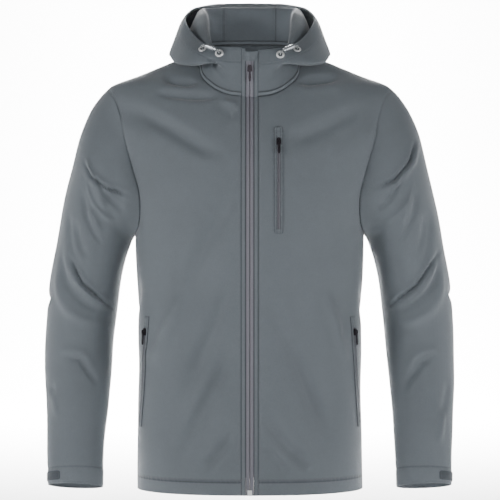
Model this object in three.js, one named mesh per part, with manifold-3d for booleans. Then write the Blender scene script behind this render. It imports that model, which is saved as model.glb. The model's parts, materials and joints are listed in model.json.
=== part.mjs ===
// A men's hooded softshell jacket, shaped as it is when worn, with nobody in it.
// Millimetres. +Z is up, -Y is the front and +X is the wearer's left side.
// The origin lies between the two points where the shoulder seams meet the neck.

import * as THREE from "three";
import { mergeVertices } from "three/addons/utils/BufferGeometryUtils.js";
import Module from "manifold-3d";

const wasm = await Module();
wasm.setup();

// Cloth and seams
const SHELL = 1.6; // thickness of the bonded softshell cloth
const SEAM_GAP = 0.3; // clearance between two sewn pieces
const PULL_IN = 0.2; // what each of two neighbours gives up along the cloth at a seam
const DEGREE = Math.PI / 180;

// Heights of the body
const HEM_Z = -740;
const ARMPIT_Z = -311;
const SHOULDER_TIP_Z = -63;
const NECK_FRONT_Z = -84;
const NECK_POINT_Z = -2;
const NAPE_Z = 17;

// Where the shoulder seam lies, as an angle round the body from the front
const NECK_POINT_ANGLE = 70 * DEGREE;
const SHOULDER_TIP_ANGLE = 85 * DEGREE;

// Centre front
const PLACKET_OUTER = 14.4; // half width of the zip placket
const PLACKET_INNER = 6.4; // half width of the strip where the zip shows
const BAND_HEIGHT = 7; // the taped seam between body and hood

// Rings of the body: half width, depth to the front and to the back, and squareness
const BODY_RINGS = [
  { z: -740, half: 191, front: 126, back: 121, square: 2.35 },
  { z: -650, half: 190, front: 128, back: 115, square: 2.35 },
  { z: -540, half: 189, front: 130, back: 107, square: 2.3 },
  { z: -440, half: 190, front: 133, back: 104, square: 2.3 },
  { z: -350, half: 193, front: 137, back: 110, square: 2.3 },
  { z: -311, half: 194, front: 139, back: 115, square: 2.3 },
  { z: -250, half: 203, front: 138, back: 120, square: 2.3 },
  { z: -190, half: 225, front: 131, back: 121, square: 2.2 },
  { z: -140, half: 244, front: 116, back: 114, square: 2.2 },
  { z: -100, half: 250, front: 98, back: 103, square: 2.1 },
  { z: -80, half: 248, front: 87, back: 97, square: 2.05 },
  { z: -63, half: 239, front: 76, back: 91, square: 2 },
  { z: -42, half: 189, front: 60, back: 84, square: 2 },
  { z: -21, half: 140, front: 47, back: 76, square: 2 },
  { z: 0, half: 92, front: 36, back: 69, square: 2 },
  { z: 20, half: 84, front: 30, back: 63, square: 2 },
];

// The armhole seam, from the tip of the shoulder to the armpit: half widths at each height
const ARMHOLE_ROWS = [
  { z: -80, front: 231, back: 231 },
  { z: -99, front: 222, back: 224 },
  { z: -133, front: 213, back: 214 },
  { z: -175, front: 203, back: 204 },
  { z: -206, front: 194, back: 197 },
  { z: -230, front: 187, back: 192 },
  { z: -256, front: 183, back: 189 },
  { z: -285, front: 184, back: 188 },
  { z: -303, front: 189, back: 191 },
];

// The front neckline, from the zip to the shoulder seam
const NECKLINE_FRONT = [
  { x: PLACKET_OUTER, z: -84 },
  { x: 35, z: -81 },
  { x: 54, z: -73 },
  { x: 70, z: -61 },
  { x: 81, z: -46 },
  { x: 88, z: -27 },
];
// The back neckline, by angle round the body from the front
const NECKLINE_BACK = [
  { angle: 90 * DEGREE, z: 2 },
  { angle: 115 * DEGREE, z: 9 },
  { angle: 145 * DEGREE, z: 15 },
];

// Mesh steps that neighbours share along a seam
const SIDE_STEPS = 9;
const ARMHOLE_STEPS = 12;
const FRONT_NECK_STEPS = 6;
const BACK_NECK_STEPS = 4;
const CENTRE_NECK_STEPS = 3;
const SHOULDER_STEPS = 7;
const FRONT_EDGE_STEPS = SIDE_STEPS + ARMHOLE_STEPS - FRONT_NECK_STEPS;

// Soft creases of the body as seen from the front or back: from one end to the other,
// how far the cloth stands out (or sinks in, when negative) and how wide the crease is
const BODY_CREASES = [
  { from: [-232, -90], to: [-150, -150], rise: -3.5, wide: 15, face: "front" },
  { from: [-150, -45], to: [-95, -62], rise: -3, wide: 8, face: "front" },
  { from: [-165, -70], to: [-90, -78], rise: 2.5, wide: 9, face: "front" },
  { from: [-60, -96], to: [-18, -118], rise: -2.5, wide: 9, face: "front" },
  { from: [150, -45], to: [86, -62], rise: -3, wide: 8, face: "front" },
  { from: [80, -72], to: [165, -66], rise: 2.5, wide: 9, face: "front" },
  { from: [232, -96], to: [120, -170], rise: -3, wide: 18, face: "front" },
  { from: [-60, -350], to: [-140, -700], rise: -3.5, wide: 20, face: "front" },
  { from: [-100, -360], to: [-165, -640], rise: 2.5, wide: 18, face: "front" },
  { from: [-30, -480], to: [-95, -715], rise: -3, wide: 16, face: "front" },
  { from: [60, -350], to: [130, -690], rise: -3.5, wide: 20, face: "front" },
  { from: [105, -380], to: [165, -650], rise: 2.5, wide: 18, face: "front" },
  { from: [22, -590], to: [100, -705], rise: -3, wide: 12, face: "front" },
  { from: [-150, -60], to: [-60, -150], rise: -3, wide: 18, face: "back" },
  { from: [150, -60], to: [60, -150], rise: -3, wide: 18, face: "back" },
  { from: [-185, -270], to: [-90, -420], rise: -4, wide: 18, face: "back" },
  { from: [185, -270], to: [90, -420], rise: -4, wide: 18, face: "back" },
  { from: [-70, -400], to: [-110, -700], rise: -3.5, wide: 22, face: "back" },
  { from: [70, -400], to: [110, -700], rise: -3.5, wide: 22, face: "back" },
  { from: [0, -330], to: [0, -700], rise: 3, wide: 30, face: "back" },
];

// Rings of a sleeve below the armhole. outer is the line over the shoulder and down the arm,
// inner the underarm line, front and back are Y, and lean is how far the ring tips forward.
const SLEEVE_RINGS = [
  { outerX: 253, outerZ: -77, innerX: 195.5, innerZ: -314, front: -71, back: 68, lean: 0 },
  { outerX: 271.5, outerZ: -104, innerX: 198, innerZ: -318, front: -74, back: 74, lean: 0 },
  { outerX: 288.5, outerZ: -145, innerX: 201, innerZ: -324, front: -75, back: 78, lean: 0 },
  { outerX: 303, outerZ: -202, innerX: 205, innerZ: -335, front: -73, back: 79, lean: 0 },
  { outerX: 316, outerZ: -260, innerX: 211, innerZ: -354, front: -70, back: 79, lean: 0 },
  { outerX: 327.5, outerZ: -321, innerX: 218, innerZ: -386, front: -66, back: 76, lean: 0 },
  { outerX: 340.5, outerZ: -389, innerX: 224, innerZ: -430, front: -60, back: 70, lean: 2 },
  { outerX: 346, outerZ: -461, innerX: 229, innerZ: -474, front: -56, back: 62, lean: 5 },
  { outerX: 347, outerZ: -532, innerX: 234, innerZ: -536, front: -58, back: 47, lean: 8 },
  { outerX: 344, outerZ: -601, innerX: 239, innerZ: -601, front: -68, back: 24, lean: 10 },
  { outerX: 340.5, outerZ: -663, innerX: 243, innerZ: -660, front: -79, back: -4, lean: 9.5 },
  { outerX: 337.5, outerZ: -704, innerX: 244.5, innerZ: -704, front: -86, back: -22, lean: 8.5 },
  { outerX: 336.5, outerZ: -730, innerX: 245, innerZ: -733, front: -91, back: -29, lean: 8 },
];
const CUFF_RING = 12; // counted from the armhole, where the turned-up cuff begins
const LAST_RING = SLEEVE_RINGS.length;
const CAP_RINGS = 4; // rings over which the armhole's outline fades into round rings

// Creases of a sleeve, from one end to the other: angle round the arm from the outer line
// towards the front, in degrees, and the ring number
const SLEEVE_CREASES = [
  { from: [52, 3.1], to: [118, 2.3], rise: -4, wide: 7, bow: 0.5 },
  { from: [58, 3.6], to: [120, 3.4], rise: 3, wide: 8, bow: 0.5 },
  { from: [62, 3.9], to: [112, 5.2], rise: -3.5, wide: 8, bow: 0.2 },
  { from: [44, 4.9], to: [92, 6.6], rise: -3.5, wide: 8, bow: 0.2 },
  { from: [36, 6.0], to: [150, 7.4], rise: -5, wide: 8, bow: 0.5 },
  { from: [34, 6.5], to: [140, 7.9], rise: 4, wide: 10, bow: 0.5 },
  { from: [48, 8.8], to: [128, 9.3], rise: 3, wide: 10, bow: -0.3 },
  { from: [38, 9.4], to: [60, 10.5], rise: -2.5, wide: 9, bow: 0 },
  { from: [300, 2.8], to: [250, 4.4], rise: -3.5, wide: 10, bow: 0.2 },
  { from: [310, 5.2], to: [230, 6.8], rise: -4, wide: 12, bow: 0.3 },
  { from: [320, 7.2], to: [240, 8.2], rise: 3.5, wide: 12, bow: 0.2 },
  { from: [300, 9.2], to: [250, 10.2], rise: -3, wide: 10, bow: 0.1 },
];

// The hood, pushed back: its cloth stands up round the neck, rolls over and hangs as a bag
// whose rim comes up again outside. Sections by angle round the neck from the front, each
// with a distance from the neck's axis (R) and a height (Z) at eight places up the cloth.
const NECK_AXIS_Y = -10;
const HOOD_PLACES = ["stand", "ridge", "roll", "fall", "bottom", "outer", "casing", "rim"];
const HOOD_SECTIONS = [
  { angle: 0, standR: 85, standZ: -66, ridgeR: 87.5, ridgeZ: -58, rollR: 89, rollZ: -50, fallR: 90, fallZ: -43,
    bottomR: 90.5, bottomZ: -37, outerR: 91, outerZ: -32, casingR: 91, casingZ: -27, rimR: 88.5, rimZ: -4 },
  { angle: 20, standR: 87, standZ: -65, ridgeR: 89, ridgeZ: -56, rollR: 90.5, rollZ: -48, fallR: 92, fallZ: -41,
    bottomR: 93, bottomZ: -36, outerR: 93.5, outerZ: -30, casingR: 93, casingZ: -25, rimR: 90, rimZ: -3 },
  { angle: 36, standR: 91, standZ: -50, ridgeR: 91, ridgeZ: -36, rollR: 94, rollZ: -28, fallR: 99, fallZ: -27,
    bottomR: 104, bottomZ: -30, outerR: 107, outerZ: -27, casingR: 105, casingZ: -18, rimR: 96, rimZ: -1 },
  { angle: 50, standR: 88, standZ: -22, ridgeR: 83, ridgeZ: 1, rollR: 88, rollZ: 6, fallR: 98, fallZ: -8,
    bottomR: 110, bottomZ: -31, outerR: 121, outerZ: -29, casingR: 115, casingZ: -10, rimR: 98, rimZ: 6 },
  { angle: 70, standR: 85, standZ: 0, ridgeR: 73, ridgeZ: 26, rollR: 81, rollZ: 31, fallR: 95, fallZ: 14,
    bottomR: 112, bottomZ: -20, outerR: 131, outerZ: -25, casingR: 119, casingZ: 6, rimR: 102, rimZ: 26 },
  { angle: 90, standR: 83, standZ: 18, ridgeR: 70, ridgeZ: 44, rollR: 79, rollZ: 50, fallR: 95, fallZ: 36,
    bottomR: 114, bottomZ: 3, outerR: 137, outerZ: -7, casingR: 122, casingZ: 31, rimR: 111, rimZ: 52 },
  { angle: 112, standR: 82, standZ: 34, ridgeR: 78, ridgeZ: 62, rollR: 88, rollZ: 67, fallR: 103, fallZ: 54,
    bottomR: 120, bottomZ: 0, outerR: 139, outerZ: -7, casingR: 128, casingZ: 50, rimR: 114, rimZ: 71 },
  { angle: 136, standR: 92, standZ: 44, ridgeR: 103, ridgeZ: 74, rollR: 112, rollZ: 79, fallR: 122, fallZ: 60,
    bottomR: 137, bottomZ: -48, outerR: 160, outerZ: -38, casingR: 143, casingZ: 73, rimR: 122, rimZ: 86 },
  { angle: 160, standR: 86, standZ: 48, ridgeR: 93, ridgeZ: 77, rollR: 103, rollZ: 82, fallR: 113, fallZ: 62,
    bottomR: 128, bottomZ: -80, outerR: 164, outerZ: -64, casingR: 150, casingZ: 84, rimR: 128, rimZ: 90 },
  { angle: 180, standR: 84, standZ: 49, ridgeR: 89, ridgeZ: 78, rollR: 99, rollZ: 82, fallR: 109, fallZ: 62,
    bottomR: 124, bottomZ: -88, outerR: 166, outerZ: -70, casingR: 153, casingZ: 86, rimR: 130, rimZ: 91 },
];
const LEFT_RIM_DIP = 4; // the rim sits this much lower on the wearer's left, near the zip
const HOOD_STEPS = 18; // mesh steps up the hood's cloth
const HOOD_CENTRE_HALF = 45; // half width of the hood's middle panel

// Pockets: slanted or upright zips on the fronts, by half width and height of each end
const POCKET_WIDTH = 14.6;
const POCKET_SLOT = 5.4;
const POCKET_GARAGE = 19; // the closed patch above the zip
const POCKETS = [
  { name: "chest_pocket", sign: 1, topX: 47.2, topZ: -135, endX: 47.2, endZ: -311, corner: 5 },
  { name: "side_pocket_right", sign: -1, topX: 171, topZ: -448, endX: 182.5, endZ: -634, corner: 1.5 },
  { name: "side_pocket_left", sign: 1, topX: 171, topZ: -448, endX: 182.5, endZ: -634, corner: 1.5 },
];

// Zip hardware
const SLIDER = { wide: 8, long: 11, thick: 2.6 };
const BAIL = { wide: 1.8, long: 6.4, high: 3.6, wall: 1.1 };
const PULL_BAR = 1.2; // the bar of the pull that turns in the bail
const PULL = { wide: 5.6, long: 22, thick: 1.4, eye: 4.2, waist: 2.6 };
const FRONT_SLIDER_Z = -38;

// Eyelets and drawcord in the hood's casing
const EYELET = { outer: 7, inner: 3.7, high: 1.3, place: 7.45 };
const EYELET_ANGLES = [31, 47];
const CORD_RADIUS = 1.3;
const LOCK = { radius: 4, long: 15, button: 3, buttonLong: 5 };

// Cuff tabs
const TAB = { from: -60, to: 60, low: 12.2, high: 12.78 };

const COLOURS = {
  shell: 0x6a7379,
  tape: 0x74777f,
  placket: 0x6c777b,
  gunmetal: 0x3a373d,
  silver: 0xd8dadb,
  cord: 0x8b9093,
  tab: 0x545b61,
};

const SIDES = [
  { side: "right", sign: -1 },
  { side: "left", sign: 1 },
];

// Curves through tables

// A curve through a table's rows that never overshoots them (monotone cubic).
function trackThrough(rows, at, key) {
  const last = rows.length - 1;
  const step = rows.slice(1).map((row, i) => row[at] - rows[i][at]);
  const slope = step.map((h, i) => (rows[i + 1][key] - rows[i][key]) / h);
  const tangent = rows.map((row, i) => {
    if (i === 0) return slope[0];
    if (i === last) return slope[last - 1];
    if (slope[i - 1] * slope[i] <= 0) return 0;
    const before = 2 * step[i] + step[i - 1];
    const after = step[i] + 2 * step[i - 1];
    return (before + after) / (before / slope[i - 1] + after / slope[i]);
  });
  return (value) => {
    const x = THREE.MathUtils.clamp(value, rows[0][at], rows[last][at]);
    let i = 0;
    while (i < last - 1 && x > rows[i + 1][at]) i += 1;
    const t = (x - rows[i][at]) / step[i];
    const u = 1 - t;
    const rise = 3 * t * t - 2 * t * t * t;
    const bend = t * u * step[i];
    return rows[i][key] * (1 - rise) + rows[i + 1][key] * rise + bend * (u * tangent[i] - t * tangent[i + 1]);
  };
}

// A smooth curve through numbers at 0, 1, 2 and so on.
function throughNumbers(values, at) {
  const last = values.length - 1;
  const i = Math.min(Math.max(Math.floor(at), 0), last - 1);
  const t = at - i;
  const [b, c] = [values[i], values[i + 1]];
  const a = i > 0 ? values[i - 1] : 2 * b - c;
  const d = i < last - 1 ? values[i + 2] : 2 * c - b;
  return b + 0.5 * t * (c - a + t * (2 * a - 5 * b + 4 * c - d + t * (3 * (b - c) + d - a)));
}

const smooth = (t) => THREE.MathUtils.smoothstep(t, 0, 1);
const mix = THREE.MathUtils.lerp;

// How far creases lift the cloth at a place; offsets are [across, along] in millimetres.
function creaseRise(crease, across, along) {
  const inside = smooth(along / 0.3) * smooth((1 - along) / 0.3);
  return crease.rise * inside * Math.exp(-((across / crease.wide) ** 2));
}

// The body

const bodyHalf = trackThrough(BODY_RINGS, "z", "half");
const bodyFront = trackThrough(BODY_RINGS, "z", "front");
const bodyBack = trackThrough(BODY_RINGS, "z", "back");
const bodySquare = trackThrough(BODY_RINGS, "z", "square");

// The body's surface without creases, at an angle round from the front and a height.
function bodyForm(angle, z) {
  const n = bodySquare(z);
  const s = Math.sin(angle);
  const c = Math.cos(angle);
  const k = (Math.abs(s) ** n + Math.abs(c) ** n) ** (-1 / n);
  const depth = c > 0 ? bodyFront(z) : bodyBack(z);
  return new THREE.Vector3(bodyHalf(z) * s * k, -depth * c * k, z);
}

// The angle at which the body's ring at height z has the given X, on its front or back.
function bodyAngle(x, z, face = "front") {
  const q = Math.min(Math.abs(x) / bodyHalf(z), 1);
  const n = bodySquare(z);
  const angle = Math.atan2(q, (1 - q ** n) ** (1 / n));
  return Math.sign(x || 1) * (face === "front" ? angle : Math.PI - angle);
}

// A surface's outward normal, from small steps along both of its parameters.
function normalOf(surface, a, b, stepA, stepB) {
  const alongA = surface(a + stepA, b).sub(surface(a - stepA, b));
  const alongB = surface(a, b + stepB).sub(surface(a, b - stepB));
  return alongA.cross(alongB).normalize();
}

function bodyCreases(point, angle) {
  const face = Math.cos(angle) > 0 ? "front" : "back";
  let rise = 0;
  for (const crease of BODY_CREASES) {
    if (crease.face !== face) continue;
    const [x0, z0] = crease.from;
    const [dx, dz] = [crease.to[0] - x0, crease.to[1] - z0];
    const long = Math.hypot(dx, dz);
    const along = ((point.x - x0) * dx + (point.z - z0) * dz) / (long * long);
    const across = ((point.x - x0) * dz - (point.z - z0) * dx) / long;
    rise += creaseRise(crease, across, along);
  }
  return rise * smooth(Math.abs(Math.cos(angle)) * 4);
}

// The body's cloth: its outer face, moved out by lift (or in, when lift is negative).
function bodyCloth(angle, z, lift = 0) {
  const point = bodyForm(angle, z);
  const out = normalOf(bodyForm, angle, z, 0.004, 1.5);
  return point.addScaledVector(out, bodyCreases(point, angle) + lift);
}

// Seam routes on the body, as angle and height

function armholeRoute(face) {
  const stops = [{ angle: SHOULDER_TIP_ANGLE, z: SHOULDER_TIP_Z }];
  for (const row of ARMHOLE_ROWS) stops.push({ angle: bodyAngle(row[face], row.z, face), z: row.z });
  stops.push({ angle: Math.PI / 2, z: ARMPIT_Z });
  return stops;
}

function neckFrontRoute() {
  const stops = NECKLINE_FRONT.map((row) => ({ angle: bodyAngle(row.x, row.z), z: row.z }));
  return [...stops, { angle: NECK_POINT_ANGLE, z: NECK_POINT_Z }];
}

function neckBackRoute() {
  const start = { angle: NECK_POINT_ANGLE, z: NECK_POINT_Z };
  return [start, ...NECKLINE_BACK, { angle: Math.PI, z: NAPE_Z }];
}

// Places along a route at even distances over the cloth, ends included.
function evenStops(stops, steps) {
  const fine = 40 * (stops.length - 1);
  const angles = stops.map((stop) => stop.angle);
  const heights = stops.map((stop) => stop.z);
  const route = [];
  for (let i = 0; i <= fine; i += 1) {
    const at = (i / fine) * (stops.length - 1);
    const angle = throughNumbers(angles, at);
    const z = throughNumbers(heights, at);
    const point = bodyForm(angle, z);
    const gone = i ? route[i - 1].gone + point.distanceTo(route[i - 1].point) : 0;
    route.push({ angle, z, point, gone });
  }
  const total = route[fine].gone;
  const even = [];
  for (let i = 0, k = 0; i <= steps; i += 1) {
    const goal = (total * i) / steps;
    while (k < fine - 1 && route[k + 1].gone < goal) k += 1;
    const t = THREE.MathUtils.clamp((goal - route[k].gone) / (route[k + 1].gone - route[k].gone), 0, 1);
    even.push({ angle: mix(route[k].angle, route[k + 1].angle, t), z: mix(route[k].z, route[k + 1].z, t) });
  }
  return even;
}

function evenHeights(from, to, steps, angleAt) {
  const list = [];
  for (let i = 0; i <= steps; i += 1) {
    const z = mix(from, to, i / steps);
    list.push({ angle: angleAt(z), z });
  }
  return list;
}

const ARMHOLE_FRONT = evenStops(armholeRoute("front"), ARMHOLE_STEPS);
const ARMHOLE_BACK = evenStops(armholeRoute("back"), ARMHOLE_STEPS);

// The neck seam by angle round the neck's axis from the front: its distance from the axis,
// its height and the matching angle round the body.
const NECK_SEAM = [...evenStops(neckFrontRoute(), 60), ...evenStops(neckBackRoute(), 60).slice(1)].map((stop) => {
  const point = bodyCloth(stop.angle, stop.z);
  const [x, y] = [point.x, NECK_AXIS_Y - point.y];
  return { round: Math.atan2(x, y) / DEGREE, far: Math.hypot(x, y), z: stop.z, body: stop.angle };
});
const neckSeamFar = trackThrough(NECK_SEAM, "round", "far");
const neckSeamZ = trackThrough(NECK_SEAM, "round", "z");
const neckSeamBody = trackThrough(NECK_SEAM, "round", "body");
const NECK_POINT_ROUND = NECK_SEAM[60].round;

const CENTRE_ROUND = 180 - Math.asin(HOOD_CENTRE_HALF / neckSeamFar(150)) / DEGREE;
const neckStop = (round) => ({ angle: neckSeamBody(round), z: neckSeamZ(round) });

function neckStops(from, to, steps) {
  return Array.from({ length: steps + 1 }, (_, i) => neckStop(mix(from, to, i / steps)));
}

const NECK_FRONT = neckStops(NECK_SEAM[0].round, NECK_POINT_ROUND, FRONT_NECK_STEPS);
const NECK_BACK = [
  ...neckStops(NECK_POINT_ROUND, CENTRE_ROUND, BACK_NECK_STEPS),
  ...centreStops().slice(1),
];

// The part of the back neckline under the hood's middle panel, at even steps of X
function centreStops() {
  const list = [];
  for (let i = CENTRE_NECK_STEPS; i >= 0; i -= 1) {
    const sideways = (HOOD_CENTRE_HALF * i) / CENTRE_NECK_STEPS;
    let round = 180;
    for (let k = 0; k < 6; k += 1) round = 180 - Math.asin(sideways / neckSeamFar(round)) / DEGREE;
    list.push(neckStop(round));
  }
  return list;
}

function shoulderSeam() {
  const list = [];
  for (let i = 0; i <= SHOULDER_STEPS; i += 1) {
    const t = i / SHOULDER_STEPS;
    const angle = mix(NECK_POINT_ANGLE, SHOULDER_TIP_ANGLE, t);
    list.push({ angle, z: mix(NECK_POINT_Z, SHOULDER_TIP_Z, t) });
  }
  return list;
}

// Fills a patch of the front or back between four edges, each a list of places; opposite
// edges have equal counts. Inside it, places follow from X and height.
function patchBetween(bottom, top, left, right, face) {
  const last = { row: left.length - 1, column: bottom.length - 1 };
  const flat = (edge) => edge.map(({ angle, z }) => ({ x: bodyForm(angle, z).x, z }));
  const [low, high, start, end] = [bottom, top, left, right].map(flat);
  return left.map((_, i) => {
    if (i === 0) return bottom;
    if (i === last.row) return top;
    const v = i / last.row;
    return bottom.map((_place, j) => {
      if (j === 0) return left[i];
      if (j === last.column) return right[i];
      const u = j / last.column;
      const [x, z] = ["x", "z"].map((key) => {
        const corners =
          mix(mix(low[0][key], low[last.column][key], u), mix(high[0][key], high[last.column][key], u), v);
        return mix(low[j][key], high[j][key], v) + mix(start[i][key], end[i][key], u) - corners;
      });
      return { angle: bodyAngle(x, z, face), z };
    });
  });
}

const sidePlaces = (armhole) => [
  ...evenHeights(HEM_Z, ARMPIT_Z, SIDE_STEPS, () => Math.PI / 2),
  ...[...armhole].reverse().slice(1),
];

function frontPlaces() {
  const left = [
    ...evenHeights(HEM_Z, NECK_FRONT_Z, FRONT_EDGE_STEPS, (z) => bodyAngle(PLACKET_OUTER, z)),
    ...NECK_FRONT.slice(1),
  ];
  const bottom = [];
  for (let j = 0; j <= SHOULDER_STEPS; j += 1) {
    bottom.push({ angle: mix(left[0].angle, Math.PI / 2, j / SHOULDER_STEPS), z: HEM_Z });
  }
  return patchBetween(bottom, shoulderSeam(), left, sidePlaces(ARMHOLE_FRONT), "front");
}

function backPlaces() {
  const half = [...shoulderSeam()].reverse();
  const neck = NECK_BACK.slice(1);
  const top = [...half, ...neck];
  const steps = top.length - 1;
  const bottom = top.map((_, j) => ({ angle: mix(Math.PI / 2, Math.PI, j / steps), z: HEM_Z }));
  const side = sidePlaces(ARMHOLE_BACK);
  const middle = side.map((_, i) => ({ angle: Math.PI, z: mix(HEM_Z, NAPE_Z, i / (side.length - 1)) }));
  return patchBetween(bottom, top, side, middle, "back");
}

// Walls

// Moves one edge of a grid of points towards its neighbours, to leave room for a seam.
function pullIn(grid, edge, distance = PULL_IN) {
  const rows = grid.length;
  const columns = grid[0].length;
  const towards = (from, to) => from.add(to.clone().sub(from).setLength(distance));
  if (edge === "bottom") for (let j = 0; j < columns; j += 1) towards(grid[0][j], grid[1][j]);
  if (edge === "top") for (let j = 0; j < columns; j += 1) towards(grid[rows - 1][j], grid[rows - 2][j]);
  if (edge === "left") for (let i = 0; i < rows; i += 1) towards(grid[i][0], grid[i][1]);
  if (edge === "right") for (let i = 0; i < rows; i += 1) towards(grid[i][columns - 1], grid[i][columns - 2]);
}

// A closed wall between two grids of points. round joins the last column to the first, and
// keep says which cells of the grid are cloth.
function wall(outer, inner, round = false, keep = () => true) {
  const rows = outer.length;
  const columns = outer[0].length;
  const spans = round ? columns : columns - 1;
  const positions = [];
  for (const grid of [outer, inner]) for (const row of grid) for (const p of row) positions.push(p.x, p.y, p.z);
  const at = (face, i, j) => face * rows * columns + i * columns + ((j + columns) % columns);
  const kept = (i, j) => {
    const column = round ? (j + spans) % spans : j;
    return i >= 0 && i < rows - 1 && column >= 0 && column < spans && keep(i, column);
  };
  const index = [];
  const quad = (a, b, c, d) => index.push(a, b, c, a, c, d);
  const rim = (a, b) => quad(at(0, ...b), at(0, ...a), at(1, ...a), at(1, ...b));
  for (let i = 0; i < rows - 1; i += 1) {
    for (let j = 0; j < spans; j += 1) {
      if (!kept(i, j)) continue;
      quad(at(0, i, j), at(0, i, j + 1), at(0, i + 1, j + 1), at(0, i + 1, j));
      quad(at(1, i, j), at(1, i + 1, j), at(1, i + 1, j + 1), at(1, i, j + 1));
      if (!kept(i - 1, j)) rim([i, j], [i, j + 1]);
      if (!kept(i, j + 1)) rim([i, j + 1], [i + 1, j + 1]);
      if (!kept(i + 1, j)) rim([i + 1, j + 1], [i + 1, j]);
      if (!kept(i, j - 1)) rim([i + 1, j], [i, j]);
    }
  }
  return facingOut(positions, index);
}

function facingOut(positions, index) {
  const corner = (k) => new THREE.Vector3().fromArray(positions, index[k] * 3);
  let volume = 0;
  for (let k = 0; k < index.length; k += 3) volume += corner(k).dot(corner(k + 1).cross(corner(k + 2)));
  if (volume < 0) {
    for (let k = 0; k < index.length; k += 3) [index[k + 1], index[k + 2]] = [index[k + 2], index[k + 1]];
  }
  const geometry = new THREE.BufferGeometry();
  geometry.setAttribute("position", new THREE.Float32BufferAttribute(positions, 3));
  geometry.setIndex(index);
  return geometry;
}

// Solids joined and cut

function mergedPoints(geometry) {
  const bare = geometry.clone();
  bare.deleteAttribute("normal");
  bare.deleteAttribute("uv");
  return mergeVertices(bare, 1e-4);
}

function solidOf(geometry) {
  const merged = mergedPoints(geometry);
  return new wasm.Manifold(
    new wasm.Mesh({
      numProp: 3,
      vertProperties: Float32Array.from(merged.attributes.position.array),
      triVerts: Uint32Array.from(merged.index.array),
    }),
  );
}

function geometryOf(solid) {
  const mesh = solid.getMesh();
  const geometry = new THREE.BufferGeometry();
  geometry.setAttribute("position", new THREE.Float32BufferAttribute(Array.from(mesh.vertProperties), 3));
  geometry.setIndex(Array.from(mesh.triVerts));
  return geometry;
}

const joined = (...parts) => geometryOf(parts.map(solidOf).reduce((all, part) => all.add(part)));
const cutBy = (whole, tool) => geometryOf(solidOf(whole).subtract(solidOf(tool)));

const jacket = new THREE.Group();

function addPiece(name, geometry, colour, finish = {}) {
  const material = new THREE.MeshStandardMaterial({ color: colour, roughness: 0.8, metalness: 0, ...finish });
  const mesh = new THREE.Mesh(geometry, material);
  mesh.name = name;
  jacket.add(mesh);
  return mesh;
}

// Front and back panels

function bodyGrid(places, sign, lift) {
  return places.map((row) => row.map((place) => bodyCloth(sign * place.angle, place.z, lift)));
}

// Gives the inner edge of a panel its mitre along the armhole; column is the panel's edge.
function mitreArmhole(inner, sign, face, column) {
  for (let k = 0; k < ARMHOLE_STEPS; k += 1) {
    const point = armholePoint(turnOf(k, face)).addScaledVector(armholeMitre(turnOf(k, face), "body"), -SHELL);
    inner[inner.length - 1 - k][column].set(sign * point.x, point.y, point.z);
  }
}

const frontGrids = {};

function addPanels() {
  for (const { side, sign } of [...SIDES].reverse()) {
    const places = frontPlaces();
    const grids = [0, -SHELL].map((lift) => bodyGrid(places, sign, lift));
    mitreArmhole(grids[1], sign, "front", SHOULDER_STEPS);
    for (const grid of grids) for (const edge of ["left", "right", "top"]) pullIn(grid, edge);
    frontGrids[sign] = grids[0];
    addPiece(`front_${side}`, wall(...grids), COLOURS.shell);
  }
  const half = backPlaces();
  const grids = [0, -SHELL].map((lift) => {
    const right = bodyGrid(half, -1, lift);
    const left = bodyGrid(half, 1, lift);
    return right.map((row, i) => [...row, ...left[i].reverse().slice(1)]);
  });
  mitreArmhole(grids[1], -1, "back", 0);
  mitreArmhole(grids[1], 1, "back", grids[1][0].length - 1);
  for (const grid of grids) for (const edge of ["left", "right", "top"]) pullIn(grid, edge);
  addPiece("back", wall(...grids), COLOURS.shell);
}

// Sleeves

const sleeveColumn = (key) => SLEEVE_RINGS.map((ring) => ring[key]);
const SLEEVE_TRACKS = Object.fromEntries(Object.keys(SLEEVE_RINGS[0]).map((key) => [key, sleeveColumn(key)]));

// The outer and inner lines run midway between the sleeve's front and back.
const MIDWAY_Y = SLEEVE_RINGS.map((ring) => (ring.front + ring.back) / 2);

// A place on the armhole seam of the left side; turn is 0 at the shoulder, half at the armpit.
function armholePoint(turn) {
  const whole = ((turn % 1) + 1) % 1;
  const front = whole <= 0.5;
  const stops = front ? ARMHOLE_FRONT : ARMHOLE_BACK;
  const at = (front ? whole : 1 - whole) * 2 * ARMHOLE_STEPS;
  const i = Math.min(Math.floor(at), ARMHOLE_STEPS - 1);
  const angle = mix(stops[i].angle, stops[i + 1].angle, at - i);
  const z = mix(stops[i].z, stops[i + 1].z, at - i);
  return bodyCloth(angle, z);
}

const ARMHOLE_POINTS = [0, 0.25, 0.5, 0.75].map(armholePoint);

// The four guide points of a sleeve ring: outer, front, inner and back.
function ringGuides(ring) {
  const [outer0, front0, inner0, back0] = ARMHOLE_POINTS;
  const value = (key, start) => throughNumbers([start, ...SLEEVE_TRACKS[key]], ring);
  const outer = new THREE.Vector3(value("outerX", outer0.x), throughNumbers([outer0.y, ...MIDWAY_Y], ring), value("outerZ", outer0.z));
  const inner = new THREE.Vector3(value("innerX", inner0.x), throughNumbers([inner0.y, ...MIDWAY_Y], ring), value("innerZ", inner0.z));
  const half = new THREE.Vector3().addVectors(outer, inner).multiplyScalar(0.5);
  const lean = value("lean", 0);
  const fade = 1 - smooth(ring / CAP_RINGS);
  const front = new THREE.Vector3(half.x + (front0.x - half.x) * fade, value("front", front0.y), half.z + lean);
  const back = new THREE.Vector3(half.x + (back0.x - half.x) * fade, value("back", back0.y), half.z - lean);
  return [outer, front, inner, back];
}

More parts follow.
